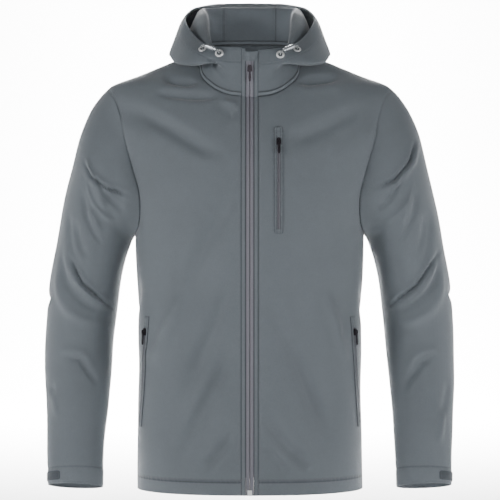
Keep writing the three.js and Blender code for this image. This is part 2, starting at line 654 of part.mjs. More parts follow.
function roundRing([outer, front, inner, back], angle) {
  const c = Math.cos(angle);
  const s = Math.sin(angle);
  const along = outer.clone().sub(inner).multiplyScalar(c / 2);
  const across = front.clone().sub(back).multiplyScalar(s / 2);
  const middle = outer.clone().add(inner).multiplyScalar((1 - s * s) / 2);
  return middle.add(along).add(across).addScaledVector(front.clone().add(back), (s * s) / 2);
}

function sleeveForm(angle, ring) {
  const point = roundRing(ringGuides(ring), angle);
  const left = 1 - smooth(ring / CAP_RINGS);
  if (left > 0) {
    const seam = armholePoint(angle / (2 * Math.PI)).sub(roundRing(ringGuides(0), angle));
    point.addScaledVector(seam, left);
  }
  return point;
}

const turnOf = (step, face) => (face === "front" ? step : 2 * ARMHOLE_STEPS - step) / (2 * ARMHOLE_STEPS);

const sleeveNormal = (angle, ring) => normalOf(sleeveForm, angle, Math.max(ring, 0.03), 0.01, 0.02);

function armholeNormal(turn) {
  const front = turn <= 0.5;
  const stops = front ? ARMHOLE_FRONT : ARMHOLE_BACK;
  const stop = stops[Math.round((front ? turn : 1 - turn) * 2 * ARMHOLE_STEPS)];
  return normalOf(bodyForm, stop.angle, stop.z, 0.004, 1.5);
}

const turnAt = (angle) => Math.round((angle / Math.PI) * ARMHOLE_STEPS) / (2 * ARMHOLE_STEPS);

// The way to the inner edge at the armhole, where body and sleeve meet at an angle.
function armholeMitre(turn, own) {
  const body = armholeNormal(turn);
  const sleeve = sleeveNormal(2 * Math.PI * turn, 0);
  const facing = body.dot(sleeve);
  const both = body.clone().add(sleeve).divideScalar(Math.max(1 + facing, 0.6));
  const alone = own === "body" ? body : sleeve;
  return alone.lerp(both, THREE.MathUtils.smoothstep(facing, -0.2, 0.4));
}

function sleeveCreases(angle, ring) {
  const degrees = ((angle / DEGREE) % 360 + 360) % 360;
  const girth = 1.1; // millimetres of cloth to a degree round the arm
  const drop = 58; // and to a ring down it
  let rise = 0;
  for (const crease of SLEEVE_CREASES) {
    const [a0, r0] = crease.from;
    const [da, dr] = [(crease.to[0] - a0) * girth, (crease.to[1] - r0) * drop];
    const long = Math.hypot(da, dr);
    const [pa, pr] = [(degrees - a0) * girth, (ring - r0) * drop];
    const along = (pa * da + pr * dr) / (long * long);
    const bow = crease.bow * 4 * along * (1 - along) * drop;
    const across = (pa * dr - pr * da) / long + bow;
    rise += creaseRise(crease, across, along);
  }
  return rise * smooth(ring / 1.5);
}

function sleeveCloth(sign, angle, ring, lift = 0) {
  const point = sleeveForm(angle, ring);
  const out = ring === 0 ? armholeMitre(turnAt(angle), "sleeve") : sleeveNormal(angle, ring);
  point.addScaledVector(out, sleeveCreases(angle, ring) + lift);
  point.x *= sign;
  return point;
}

function sleeveGrid(sign, rings, lift) {
  return rings.map((ring) => {
    const row = [];
    for (let j = 0; j < 2 * ARMHOLE_STEPS; j += 1) {
      row.push(sleeveCloth(sign, (Math.PI * j) / ARMHOLE_STEPS, ring, lift));
    }
    return row;
  });
}

function addSleeves() {
  const rings = [];
  for (let i = 0; i <= 16; i += 1) rings.push((i * CUFF_RING) / 16);
  for (const { side, sign } of SIDES) {
    const grids = [0, -SHELL].map((lift) => sleeveGrid(sign, rings, lift));
    for (const grid of grids) {
      pullIn(grid, "bottom", SEAM_GAP);
      pullIn(grid, "top");
      for (let j = 0; j < grid[0].length; j += 1) grid[0][j].x += sign * SEAM_GAP;
    }
    addPiece(`sleeve_${side}`, wall(...grids, true), COLOURS.shell);
    const cuff = [0.4, -SHELL].map((lift) => sleeveGrid(sign, [CUFF_RING, CUFF_RING + 0.5, LAST_RING], lift));
    for (const grid of cuff) pullIn(grid, "bottom");
    addPiece(`cuff_${side}`, wall(...cuff, true), COLOURS.shell);
  }
}

// Cuff tabs, laid on the outer side of each cuff
function addCuffTabs() {
  for (const { side, sign } of SIDES) {
    const grid = (lift) =>
      [TAB.low, TAB.high].map((ring) => {
        const row = [];
        for (let j = 0; j <= 8; j += 1) {
          row.push(sleeveCloth(sign, mix(TAB.from, TAB.to, j / 8) * DEGREE, ring, lift));
        }
        return row;
      });
    addPiece(`cuff_tab_${side}`, wall(grid(2), grid(0.9)), COLOURS.tab);
  }
}

// The hood

const hoodTracks = HOOD_PLACES.flatMap((place) =>
  ["R", "Z"].map((key) => [`${place}${key}`, trackThrough(HOOD_SECTIONS, "angle", `${place}${key}`)]),
);
const HOOD = Object.fromEntries(hoodTracks);

// A place on the hood's cloth, by angle in degrees from the front and place: 0 is the neck
// seam, 1 to 8 the places of the table.
function hoodProfile(angle, place) {
  const size = Math.abs(angle);
  const far = [neckSeamFar(size), ...HOOD_PLACES.map((name) => HOOD[`${name}R`](size))];
  const high = [neckSeamZ(size), ...HOOD_PLACES.map((name) => HOOD[`${name}Z`](size))];
  const dip = angle > 0 ? LEFT_RIM_DIP * smooth(place / 8) * (1 - smooth((size - 8) / 50)) : 0;
  return { far: throughNumbers(far, place), z: throughNumbers(high, place) - dip };
}

function hoodForm(angle, place) {
  const { far, z } = hoodProfile(angle, place);
  return new THREE.Vector3(far * Math.sin(angle * DEGREE), NECK_AXIS_Y - far * Math.cos(angle * DEGREE), z);
}

function hoodCloth(angle, place, lift = 0) {
  const point = hoodForm(angle, place);
  const out = normalOf(hoodForm, angle, THREE.MathUtils.clamp(place, 0.04, 7.96), 0.5, 0.04);
  return point.addScaledVector(out, lift);
}

// The angle at which the cloth is a given distance to the side of the middle.
function hoodAngleAt(sideways, place, face) {
  let angle = face === "front" ? 10 : 150;
  for (let i = 0; i < 8; i += 1) {
    const far = hoodProfile(angle, place).far;
    const turn = Math.asin(Math.min(sideways / far, 1)) / DEGREE;
    angle = face === "front" ? turn : 180 - turn;
  }
  return angle;
}

const HOOD_SIDE_STEPS = FRONT_NECK_STEPS + BACK_NECK_STEPS;
// Rows of the hood run from the wearer's right to their left.
// Places up the hood's cloth, closer together where it turns
const HOOD_PLACES_UP = [0, 0.5, 1, 1.5, 2, 2.5, 3, 3.5, 4, 4.5, 5, 5.5, 6, 6.5, 7, 7.5, 8];

function hoodSideRow(sign, place, lift) {
  const start = hoodAngleAt(PLACKET_OUTER, place, "front");
  const middle = NECK_POINT_ROUND;
  const end = hoodAngleAt(HOOD_CENTRE_HALF, place, "back");
  const row = [];
  for (let j = 0; j <= HOOD_SIDE_STEPS; j += 1) {
    const back = j - FRONT_NECK_STEPS;
    const angle = back < 0 ? mix(start, middle, j / FRONT_NECK_STEPS) : mix(middle, end, back / BACK_NECK_STEPS);
    row.push(hoodCloth(sign * angle, place, lift));
  }
  return sign < 0 ? row : row.reverse();
}

function hoodCentreRow(place, lift) {
  const row = [];
  for (let j = -CENTRE_NECK_STEPS; j <= CENTRE_NECK_STEPS; j += 1) {
    const sideways = (HOOD_CENTRE_HALF * Math.abs(j)) / CENTRE_NECK_STEPS;
    const angle = hoodAngleAt(sideways, place, "back");
    row.push(hoodCloth(j > 0 ? angle : -angle, place, lift));
  }
  return row;
}

// Lifts the lowest row of a hood piece off the seam band.
function raiseFromBand(row, rowAbove) {
  row.forEach((point, j) => point.lerp(rowAbove[j], (BAND_HEIGHT + 3 * SEAM_GAP) / point.distanceTo(rowAbove[j])));
}

function hoodGrids(makeRow, places, lifts) {
  return lifts.map((lift) => places.map((place) => makeRow(place, lift)));
}

function addHood() {
  const shell = {};
  for (const { side, sign } of SIDES) {
    const grids = hoodGrids((place, lift) => hoodSideRow(sign, place, lift), HOOD_PLACES_UP, [0, -SHELL]);
    for (const grid of grids) {
      raiseFromBand(grid[0], hoodSideRow(sign, 1, grid === grids[0] ? 0 : -SHELL));
      for (const edge of ["left", "right"]) pullIn(grid, edge, SEAM_GAP);
    }
    shell[side] = wall(...grids);
    for (const angle of EYELET_ANGLES) shell[side] = cutBy(shell[side], eyeletHole(sign * angle));
    addPiece(`hood_side_${side}`, shell[side], COLOURS.shell);
  }
  const grids = hoodGrids(hoodCentreRow, HOOD_PLACES_UP, [0, -SHELL]);
  for (const grid of grids) {
    raiseFromBand(grid[0], hoodCentreRow(1, grid === grids[0] ? 0 : -SHELL));
    for (const edge of ["left", "right"]) pullIn(grid, edge, SEAM_GAP);
  }
  addPiece("hood_centre", wall(...grids), COLOURS.shell);
}

// A whole row round the neck, from the zip on the wearer's right to the zip on the left.
function hoodWholeRow(place, lift) {
  const centre = hoodCentreRow(place, lift).slice(1, -1);
  return [...hoodSideRow(-1, place, lift), ...centre, ...hoodSideRow(1, place, lift)];
}

// The taped seam round the neck and the casing inside the hood's rim
function addNeckBand() {
  const grid = (lift) => {
    const low = hoodWholeRow(0, lift);
    const high = hoodWholeRow(1, lift);
    const rows = [2 * SEAM_GAP, BAND_HEIGHT / 2, BAND_HEIGHT].map((rise) =>
      low.map((point, j) => point.clone().lerp(high[j], rise / point.distanceTo(high[j]))),
    );
    for (const edge of ["left", "right"]) pullIn(rows, edge);
    return rows;
  };
  addPiece("neck_band", wall(grid(0.9), grid(-SHELL)), COLOURS.shell);
}

function addCasing() {
  const grid = (lift) => {
    const rows = [7, 7.5, 8].map((place) => hoodWholeRow(place, lift));
    for (const edge of ["left", "right", "bottom", "top"]) pullIn(rows, edge);
    return rows;
  };
  const lifts = [-SHELL - 1.5 * SEAM_GAP, -SHELL - 1.5 * SEAM_GAP - 1.2];
  addPiece("hood_casing", wall(...lifts.map(grid)), COLOURS.shell);
}

// Small hard parts

// A frame on the cloth: across and up lie in it and out stands off it.
function frameOn(point, out, up) {
  const across = new THREE.Vector3().crossVectors(up, out).normalize();
  const along = new THREE.Vector3().crossVectors(out, across);
  return new THREE.Matrix4().makeBasis(across, along, out.clone().normalize()).setPosition(point);
}

function placed(geometry, frame) {
  return geometry.applyMatrix4(frame);
}

// A round bar along a path of points, closed at both ends.
function bar(points, radius, sides = 8) {
  const rings = points.map((point, i) => {
    const before = points[Math.max(i - 1, 0)];
    const after = points[Math.min(i + 1, points.length - 1)];
    const along = after.clone().sub(before).normalize();
    const side = new THREE.Vector3(0.3, 0.2, 1).cross(along).normalize();
    const up = along.clone().cross(side);
    return Array.from({ length: sides }, (_, k) => {
      const turn = (2 * Math.PI * k) / sides;
      const spoke = side.clone().multiplyScalar(Math.cos(turn)).addScaledVector(up, Math.sin(turn));
      return point.clone().addScaledVector(spoke, radius);
    });
  });
  const positions = rings.flat().flatMap((p) => p.toArray());
  const index = [];
  for (let i = 0; i < rings.length - 1; i += 1) {
    for (let k = 0; k < sides; k += 1) {
      const [a, b] = [i * sides + k, i * sides + ((k + 1) % sides)];
      index.push(a, b, b + sides, a, b + sides, a + sides);
    }
  }
  const lastRing = (rings.length - 1) * sides;
  for (let k = 1; k < sides - 1; k += 1) {
    index.push(0, k + 1, k);
    index.push(lastRing, lastRing + k, lastRing + k + 1);
  }
  return facingOut(positions, index);
}

function plate(outline, thick, holes = []) {
  const shape = new THREE.Shape(outline.map(([x, y]) => new THREE.Vector2(x, y)));
  for (const hole of holes) shape.holes.push(new THREE.Path(hole.map(([x, y]) => new THREE.Vector2(x, y))));
  return new THREE.ExtrudeGeometry(shape, { depth: thick, bevelEnabled: false, curveSegments: 6 });
}

// A slider with its arch, lying on the cloth at z = 0 and pointing up the zip.
function sliderBody() {
  const { wide, long, thick } = SLIDER;
  const half = wide / 2;
  const body = plate(
    [[-half, -long / 2], [half, -long / 2], [half, 1], [half * 0.75, long / 2 - 1], [half * 0.4, long / 2],
      [-half * 0.4, long / 2], [-half * 0.75, long / 2 - 1], [-half, 1]],
    thick,
  );
  const { long: span, high, wall: thin } = BAIL;
  const arch = plate(
    [[-span / 2, -0.4], [-span / 2, high - 1], [-span / 2 + 1, high], [span / 2 - 1, high], [span / 2, high - 1],
      [span / 2, -0.4], [span / 2 - thin, -0.4], [span / 2 - thin, high - thin], [-span / 2 + thin, high - thin],
      [-span / 2 + thin, -0.4]],
    BAIL.wide,
  );
  arch.translate(0, 0, -BAIL.wide / 2).rotateX(Math.PI / 2).rotateZ(Math.PI / 2).translate(0, 0, thick);
  return joined(body, arch);
}

// A pull hanging from its bar at the origin, with the blade towards -Y.
function pullBlade() {
  const { wide, long, thick, eye, waist } = PULL;
  const half = wide / 2;
  const neck = waist / 2 + 0.4;
  const belly = waist / 2 + 0.9;
  const blade = plate(
    [[-half, 0], [-half, -eye - 1], [-neck, -eye - 3.2], [-belly, -long * 0.7], [-waist / 2, -long],
      [waist / 2, -long], [belly, -long * 0.7], [neck, -eye - 3.2], [half, -eye - 1], [half, 0]],
    thick,
  );
  blade.translate(0, 0, -thick / 2);
  const window = new THREE.BoxGeometry(BAIL.wide + 1.1, 2 * eye, thick * 3);
  const top = new THREE.CylinderGeometry(thick / 2, thick / 2, wide, 10).rotateZ(Math.PI / 2);
  return joined(cutBy(blade, window), top);
}

const hinges = [];

function addZipSlider(name, frame, tilt = 0) {
  addPiece(`${name}_slider`, placed(sliderBody(), frame), COLOURS.gunmetal, { metalness: 0.8, roughness: 0.4 });
  const height = SLIDER.thick + (BAIL.high - BAIL.wall) / 2;
  const turned = new THREE.Matrix4().makeRotationX(tilt).setPosition(0, 0, height);
  const pullFrame = frame.clone().multiply(turned);
  addPiece(`${name}_pull`, placed(pullBlade(), pullFrame), COLOURS.gunmetal, { metalness: 0.8, roughness: 0.4 });
  const axis = new THREE.Vector3().setFromMatrixColumn(frame, 0).negate();
  hinges.push({ name, at: new THREE.Vector3().setFromMatrixPosition(pullFrame), axis });
}

// The centre front

// The front edge of body and collar as one surface; sideways is X.
function frontEdge(sideways, z, lift = 0) {
  const onBody = bodyCloth(bodyAngle(sideways, Math.min(z, NECK_FRONT_Z)), Math.min(z, NECK_FRONT_Z), lift);
  if (z <= NECK_FRONT_Z) return onBody;
  const sign = Math.sign(sideways || 1);
  let place = 4;
  let angle = 8;
  for (let step = 2; step > 1e-6; step /= 2) {
    angle = hoodAngleAt(Math.abs(sideways), place, "front");
    place += hoodProfile(sign * Math.max(angle, 0.01), place).z < z ? step : -step;
  }
  return hoodCloth(sign * angle, place, lift);
}

const COLLAR_TOP_Z = -6;

function stripHeights(top) {
  const heights = [];
  for (let i = 0; i <= 16; i += 1) heights.push(mix(HEM_Z, NECK_FRONT_Z, i / 16));
  for (let i = 1; i <= 5; i += 1) heights.push(mix(NECK_FRONT_Z, top, i / 5));
  return heights;
}

function addStrip(name, from, to, top, lifts, colour) {
  const grid = (lift) => {
    const rows = stripHeights(top).map((z) => [from, (from + to) / 2, to].map((x) => frontEdge(x, z, lift)));
    for (const edge of ["left", "right"]) pullIn(rows, edge);
    return rows;
  };
  addPiece(name, wall(...lifts.map(grid)), colour);
}

function addCentreFront() {
  for (const { side, sign } of SIDES) {
    const top = sign < 0 ? COLLAR_TOP_Z : COLLAR_TOP_Z - LEFT_RIM_DIP;
    const edges = [PLACKET_INNER, PLACKET_OUTER].map((x) => sign * x).sort((a, b) => a - b);
    addStrip(`placket_${side}`, ...edges, top, [0.5, -SHELL], COLOURS.placket);
    const tape = [0, PLACKET_INNER].map((x) => sign * x).sort((a, b) => a - b);
    addStrip(`zip_tape_${side}`, ...tape, -16, [-0.6, -SHELL], COLOURS.tape);
  }
  const out = normalOf((a, z) => frontEdge(a, z), 0.1, FRONT_SLIDER_Z, 0.5, 1);
  const seat = frontEdge(0.1, FRONT_SLIDER_Z, 0).setX(0);
  out.setX(0).normalize();
  addZipSlider("front_zip", frameOn(seat, out, new THREE.Vector3(0, 0, 1)));
  const stop = new THREE.BoxGeometry(7.4, 2.4, 9).translate(0, -1.2, 0);
  const foot = frontEdge(0.1, HEM_Z + 4.5, -0.2);
  addPiece("zip_end_box", stop.translate(0, foot.y, foot.z), COLOURS.silver, { metalness: 0.9, roughness: 0.3 });
}

// A small cover of cloth over the top of the zip
function addChinGuard() {
  const grid = (lift) =>
    [-27, -21, -16, -11].map((z) => {
      const right = mix(-8.5, -9.5, (z + 27) / 16);
      const left = mix(9, 14, (z + 27) / 16);
      return [0, 0.2, 0.4, 0.6, 0.8, 1].map((t) => frontEdge(mix(right, left, t), z, lift));
    });
  addPiece("chin_guard", wall(grid(2.3), grid(1.1)), COLOURS.shell);
}

// Pockets

// A point above the facets of a front panel, found by half width and height.
function panelPoint(sign, x, z, lift) {
  const grid = frontGrids[sign];
  const corner = (i, j) => grid[i][j];
  for (let i = 0; i < grid.length - 1; i += 1) {
    for (let j = 0; j < grid[0].length - 1; j += 1) {
      for (const triangle of [
        [corner(i, j), corner(i, j + 1), corner(i + 1, j + 1)],
        [corner(i, j), corner(i + 1, j + 1), corner(i + 1, j)],
      ]) {
        const [a, b, c] = triangle;
        const target = new THREE.Vector2(sign * x, z);
        const whole = areaOf(a, b, c);
        const shares = [areaOf(target, b, c), areaOf(a, target, c), areaOf(a, b, target)].map((part) => part / whole);
        if (shares.some((share) => share < -1e-9)) continue;
        const point = a.clone().multiplyScalar(shares[0]).addScaledVector(b, shares[1]).addScaledVector(c, shares[2]);
        const angle = bodyAngle(point.x, point.z);
        return point.addScaledVector(normalOf(bodyForm, angle, point.z, 0.004, 1.5), lift);
      }
    }
  }
  throw new Error(`no cloth at ${x}, ${z}`);
}

// Twice the area of a triangle seen from the front; the corners give x and z.
function areaOf(a, b, c) {
  const high = (p) => p.z ?? p.y;
  return (b.x - a.x) * (high(c) - high(a)) - (c.x - a.x) * (high(b) - high(a));
}

// A place on a front panel under a pocket: across it and down it in millimetres of cloth.
function pocketPoint(pocket, across, down, lift) {
  const [dx, dz] = [pocket.endX - pocket.topX, pocket.endZ - pocket.topZ];
  const share = down / Math.hypot(dx, dz);
  const [x, z] = [pocket.topX + dx * share, pocket.topZ + dz * share];
  const out = panelPoint(1, x, z, 1).sub(panelPoint(1, x, z, 0));
  const sideways = new THREE.Vector3(dx, 0, dz).cross(out).normalize().multiplyScalar(across);
  return panelPoint(pocket.sign, x + sideways.x, z + sideways.z, lift);
}

function addPocket(pocket) {
  const long = Math.hypot(pocket.endX - pocket.topX, pocket.endZ - pocket.topZ);
  const half = POCKET_WIDTH / 2;
  const slot = POCKET_SLOT / 2;
  const end = long - 7;
  const steps = Math.round((end - POCKET_GARAGE) / 15);
  const downs = [0, pocket.corner, POCKET_GARAGE];
  for (let i = 1; i <= steps; i += 1) downs.push(mix(POCKET_GARAGE, end, i / steps));
  downs.push(long - 2, long);
  const grid = (lift) =>
    downs.map((down, i) => {
      const edge = i === 0 ? half - pocket.corner : i === downs.length - 1 ? half - 2 : half;
      return [-edge, -slot, slot, edge].map((across) => pocketPoint(pocket, across, down, lift));
    });
  const slotted = (i, j) => !(j === 1 && i >= 2 && i < 2 + steps);
  addPiece(`${pocket.name}_welt`, wall(grid(1.9), grid(0.5), false, slotted), COLOURS.shell);
  const tapeDowns = downs.slice(2, 3 + steps);
  const tape = (lift) => {
    const rows = tapeDowns.map((down) => [-slot, 0, slot].map((across) => pocketPoint(pocket, across, down, lift)));
    for (const edge of ["left", "right", "top", "bottom"]) pullIn(rows, edge, SEAM_GAP);
    return rows;
  };
  addPiece(`${pocket.name}_zip`, wall(tape(1.4), tape(0.5)), COLOURS.tape);
  const at = POCKET_GARAGE + 7;
  const seat = pocketPoint(pocket, 0, at, 2.5);
  const out = pocketPoint(pocket, 0, at, 6).sub(seat).normalize();
  const up = pocketPoint(pocket, 0, at - 8, 2).sub(pocketPoint(pocket, 0, at + 8, 2)).normalize();
  addZipSlider(pocket.name, frameOn(seat, out, up));
}

// Eyelets, cord locks and drawcords

function eyeletFrame(angle) {
  const point = hoodCloth(angle, EYELET.place);
  const out = hoodCloth(angle, EYELET.place, 1).sub(point);
  return frameOn(point, out, new THREE.Vector3(0, 0, 1));
}

function eyeletHole(angle) {
  const tool = new THREE.CylinderGeometry(EYELET.inner, EYELET.inner, 12, 16).rotateX(Math.PI / 2);
  return tool.applyMatrix4(eyeletFrame(angle));
}

function addDrawcords() {
  for (const { side, sign } of SIDES) {
    const [near, far] = EYELET_ANGLES.map((angle) => eyeletFrame(sign * angle));
    const at = (frame, x, y, z) => new THREE.Vector3(x, y, z).applyMatrix4(frame);
    EYELET_ANGLES.forEach((angle, i) => {
      const outline = [];
      const { outer, inner, high } = EYELET;
      for (const [r, h] of [[inner, 0.5], [outer, 0.5], [outer - 1, high], [inner + 1, high + 0.3], [inner, high]]) {
        outline.push(new THREE.Vector2(r, h));
      }
      outline.push(outline[0].clone());
      const ring = new THREE.LatheGeometry(outline.reverse(), 16).rotateX(Math.PI / 2);
      const name = `eyelet_${side}_${i ? "outer" : "inner"}`;
      const eyelet = placed(ring, eyeletFrame(sign * angle));
      addPiece(name, facingOutward(eyelet), COLOURS.silver, { metalness: 1, roughness: 0.2 });
    });
    const middle = at(near, 0, 0, 9).lerp(at(far, 0, 0, 9), 0.5);
    middle.z += 1.5;
    const along = at(far, 0, 0, 9).sub(at(near, 0, 0, 9)).normalize();
    const start = middle.clone().addScaledVector(along, -LOCK.long / 2);
    const finish = middle.clone().addScaledVector(along, LOCK.long / 2);
    const barrel = bar([start, finish], LOCK.radius, 12);
    const button = bar(
      [start.clone().addScaledVector(along, -LOCK.buttonLong), start.clone().addScaledVector(along, 2)],
      LOCK.button,
      12,
    );
    const bore = bar(
      [start.clone().addScaledVector(along, -9), finish.clone().addScaledVector(along, 4)],
      CORD_RADIUS + 0.35,
      10,
    );
    addPiece(`cord_lock_${side}`, cutBy(joined(barrel, button), bore), COLOURS.silver, { metalness: 0.4 });
    const enter = start.clone().addScaledVector(along, -LOCK.buttonLong - 0.5);
    const leave = finish.clone().addScaledVector(along, 0.5);
    const bend = (frame, end) => {
      const hole = at(frame, 0, 0, 0);
      const rise = at(frame, 0, 0, 6.5).sub(hole);
      const curve = new THREE.QuadraticBezierCurve3(hole.clone().add(rise), at(frame, 0, 0, 9.5), end);
      return [at(frame, 0, 0, -1.4), hole.clone().addScaledVector(rise, 0.5), ...curve.getPoints(4)];
    };
    const path = [...bend(near, enter), ...bend(far, leave).reverse()];
    addPiece(`drawcord_${side}`, bar(path, CORD_RADIUS, 8), COLOURS.cord);
  }
}

function facingOutward(geometry) {
  const merged = mergedPoints(geometry);
  return facingOut(Array.from(merged.attributes.position.array), Array.from(merged.index.array));
}

addPanels();
addSleeves();
addCuffTabs();
addHood();
addNeckBand();
addCasing();
addCentreFront();
addChinGuard();
for (const pocket of POCKETS) addPocket(pocket);
addDrawcords();
jacket.userData.hinges = hinges;

export default jacket;
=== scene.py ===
"""A hooded softshell jacket in its worn shape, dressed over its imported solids."""

from __future__ import annotations

import json
import logging
import math
from dataclasses import dataclass, field
from enum import Enum
from typing import Callable, Sequence

import bpy
import numpy as np
from mathutils import Matrix, Vector

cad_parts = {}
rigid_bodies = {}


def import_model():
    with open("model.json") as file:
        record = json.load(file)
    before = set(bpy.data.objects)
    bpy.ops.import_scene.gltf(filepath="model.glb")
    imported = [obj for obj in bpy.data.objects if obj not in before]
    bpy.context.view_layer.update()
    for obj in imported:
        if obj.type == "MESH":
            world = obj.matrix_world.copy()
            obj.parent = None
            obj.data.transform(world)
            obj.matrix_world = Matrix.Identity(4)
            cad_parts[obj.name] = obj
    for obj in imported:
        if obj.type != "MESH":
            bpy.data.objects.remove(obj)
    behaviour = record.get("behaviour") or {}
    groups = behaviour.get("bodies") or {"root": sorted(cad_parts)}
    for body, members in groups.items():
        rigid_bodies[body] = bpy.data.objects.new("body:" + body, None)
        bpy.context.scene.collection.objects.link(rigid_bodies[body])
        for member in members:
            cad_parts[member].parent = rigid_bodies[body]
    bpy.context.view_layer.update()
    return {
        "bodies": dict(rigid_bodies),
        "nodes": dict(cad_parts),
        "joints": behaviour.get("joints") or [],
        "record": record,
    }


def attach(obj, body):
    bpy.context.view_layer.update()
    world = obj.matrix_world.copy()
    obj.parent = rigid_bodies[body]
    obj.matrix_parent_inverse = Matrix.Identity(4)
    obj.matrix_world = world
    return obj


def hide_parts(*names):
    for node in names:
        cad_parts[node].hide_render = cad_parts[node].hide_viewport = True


log = logging.getLogger("jacket")

Grid = np.ndarray
Surface = Callable[[np.ndarray, np.ndarray], np.ndarray]

MM = 0.001
PHOTO_MM = 1.7  # millimetres to a pixel of the photograph where Y is 0
PHOTO_CENTRE = (249.75, 250.0)
CAMERA_BACK = 3300.0
CAMERA_HEIGHT = -338.0
SHELL = 1.6
SEAM_GAP = 0.3
PULL_IN = 0.03

HEM_Z = -740.0
ARMPIT_Z = -311.0
SHOULDER_TIP_Z = -63.0
NECK_FRONT_Z = -84.0
NECK_POINT_Z = -2.0
NAPE_Z = 17.0
NECK_POINT_ANGLE = math.radians(70)
SHOULDER_TIP_ANGLE = math.radians(85)
PLACKET_OUTER = 14.4
PLACKET_INNER = 6.4
BAND_HEIGHT = 7.0
NECK_AXIS_Y = -10.0
LEFT_RIM_DIP = 4.0
HOOD_CENTRE_HALF = 45.0
CUFF_RING = 12.0
POCKET_FOOT = 7.0
SMALLEST_CUT = 10.0  # the smallest flat size of a sheet that can be stated
CAP_RINGS = 4.0


def smooth(value: np.ndarray) -> np.ndarray:
    """Ease from 0 to 1 as value goes from 0 to 1."""
    t = np.clip(value, 0.0, 1.0)
    return t * t * (3.0 - 2.0 * t)


def mix(a: np.ndarray, b: np.ndarray, t: np.ndarray) -> np.ndarray:
    """Blend from a to b as t goes from 0 to 1."""
    return a + (b - a) * t


def photo_point(px: float, py: float, depth: float) -> tuple[float, float]:
    """Give X and Z in millimetres of a point of the photograph.

    Args:
        px: Pixels from the photograph's left edge.
        py: Pixels from its top edge.
        depth: The Y of the surface that the pixel shows.

    Returns:
        X and Z of that point.
    """
    scale = PHOTO_MM * (1.0 + depth / CAMERA_BACK)
    return (px - PHOTO_CENTRE[0]) * scale, (PHOTO_CENTRE[1] - py) * scale + CAMERA_HEIGHT


class Track:
    """A curve through a table's rows that never overshoots them."""

    def __init__(self, stops: Sequence[float], values: Sequence[float]) -> None:
        """Prepare the slopes at each row.

        Args:
            stops: Rising places of the rows.
            values: The value at each row.
        """
        self.x = np.asarray(stops, float)
        self.y = np.asarray(values, float)
        step = np.diff(self.x)
        slope = np.diff(self.y) / step
        tangent = np.zeros_like(self.y)
        tangent[0], tangent[-1] = slope[0], slope[-1]
        for i in range(1, len(self.y) - 1):
            if slope[i - 1] * slope[i] > 0:
                before = 2 * step[i] + step[i - 1]
                after = step[i] + 2 * step[i - 1]
                tangent[i] = (before + after) / (before / slope[i - 1] + after / slope[i])
        self.step, self.tangent = step, tangent

    def __call__(self, value: np.ndarray) -> np.ndarray:
        """Give the curve's value at each place."""
        v = np.clip(np.asarray(value, float), self.x[0], self.x[-1])
        i = np.clip(np.searchsorted(self.x, v, side="right") - 1, 0, len(self.step) - 1)
        h = self.step[i]
        t = (v - self.x[i]) / h
        u = 1.0 - t
        rise = 3 * t * t - 2 * t**3
        bend = t * u * h * (u * self.tangent[i] - t * self.tangent[i + 1])
        return self.y[i] * (1 - rise) + self.y[i + 1] * rise + bend


def through_numbers(values: Sequence[np.ndarray], at: np.ndarray) -> np.ndarray:
    """Give a smooth curve's value through values at 0, 1, 2 and so on.

    Args:
        values: Numbers, or arrays of one shape, at whole places.
        at: The places wanted.

    Returns:
        The curve there.
    """
    stack = np.stack([np.broadcast_to(np.asarray(v, float), np.shape(at)) for v in values])
    last = len(values) - 1
    i = np.clip(np.floor(at).astype(int), 0, last - 1)
    t = at - i
    pick = lambda k: np.take_along_axis(stack, k[None, ...], axis=0)[0]
    b, c = pick(i), pick(i + 1)
    a = np.where(i > 0, pick(np.maximum(i - 1, 0)), 2 * b - c)
    d = np.where(i < last - 1, pick(np.minimum(i + 2, last)), 2 * c - b)
    return b + 0.5 * t * (c - a + t * (2 * a - 5 * b + 4 * c - d + t * (3 * (b - c) + d - a)))


def normals_of(surface: Surface, a: np.ndarray, b: np.ndarray, step_a: float, step_b: float) -> np.ndarray:
    """Find a surface's outward normals from small steps along both of its ways.

    Args:
        surface: Gives points for two arrays of places.
        a: Places along the first way.
        b: Places along the second way.
        step_a: Size of the step along the first way.
        step_b: Size of the step along the second way.

    Returns:
        Unit normals.
    """
    along_a = surface(a + step_a, b) - surface(a - step_a, b)
    along_b = surface(a, b + step_b) - surface(a, b - step_b)
    out = np.cross(along_a, along_b)
    return out / np.maximum(np.linalg.norm(out, axis=-1, keepdims=True), 1e-9)


class Profile(Enum):
    """The shapes that a fold's cross-section takes."""

    ROLL = "roll"
    CREASE = "crease"


class Side(Enum):
    """The way from which a fold is seen."""

    FRONT = "front"
    BACK = "back"
    RIGHT = "right"
    LEFT = "left"


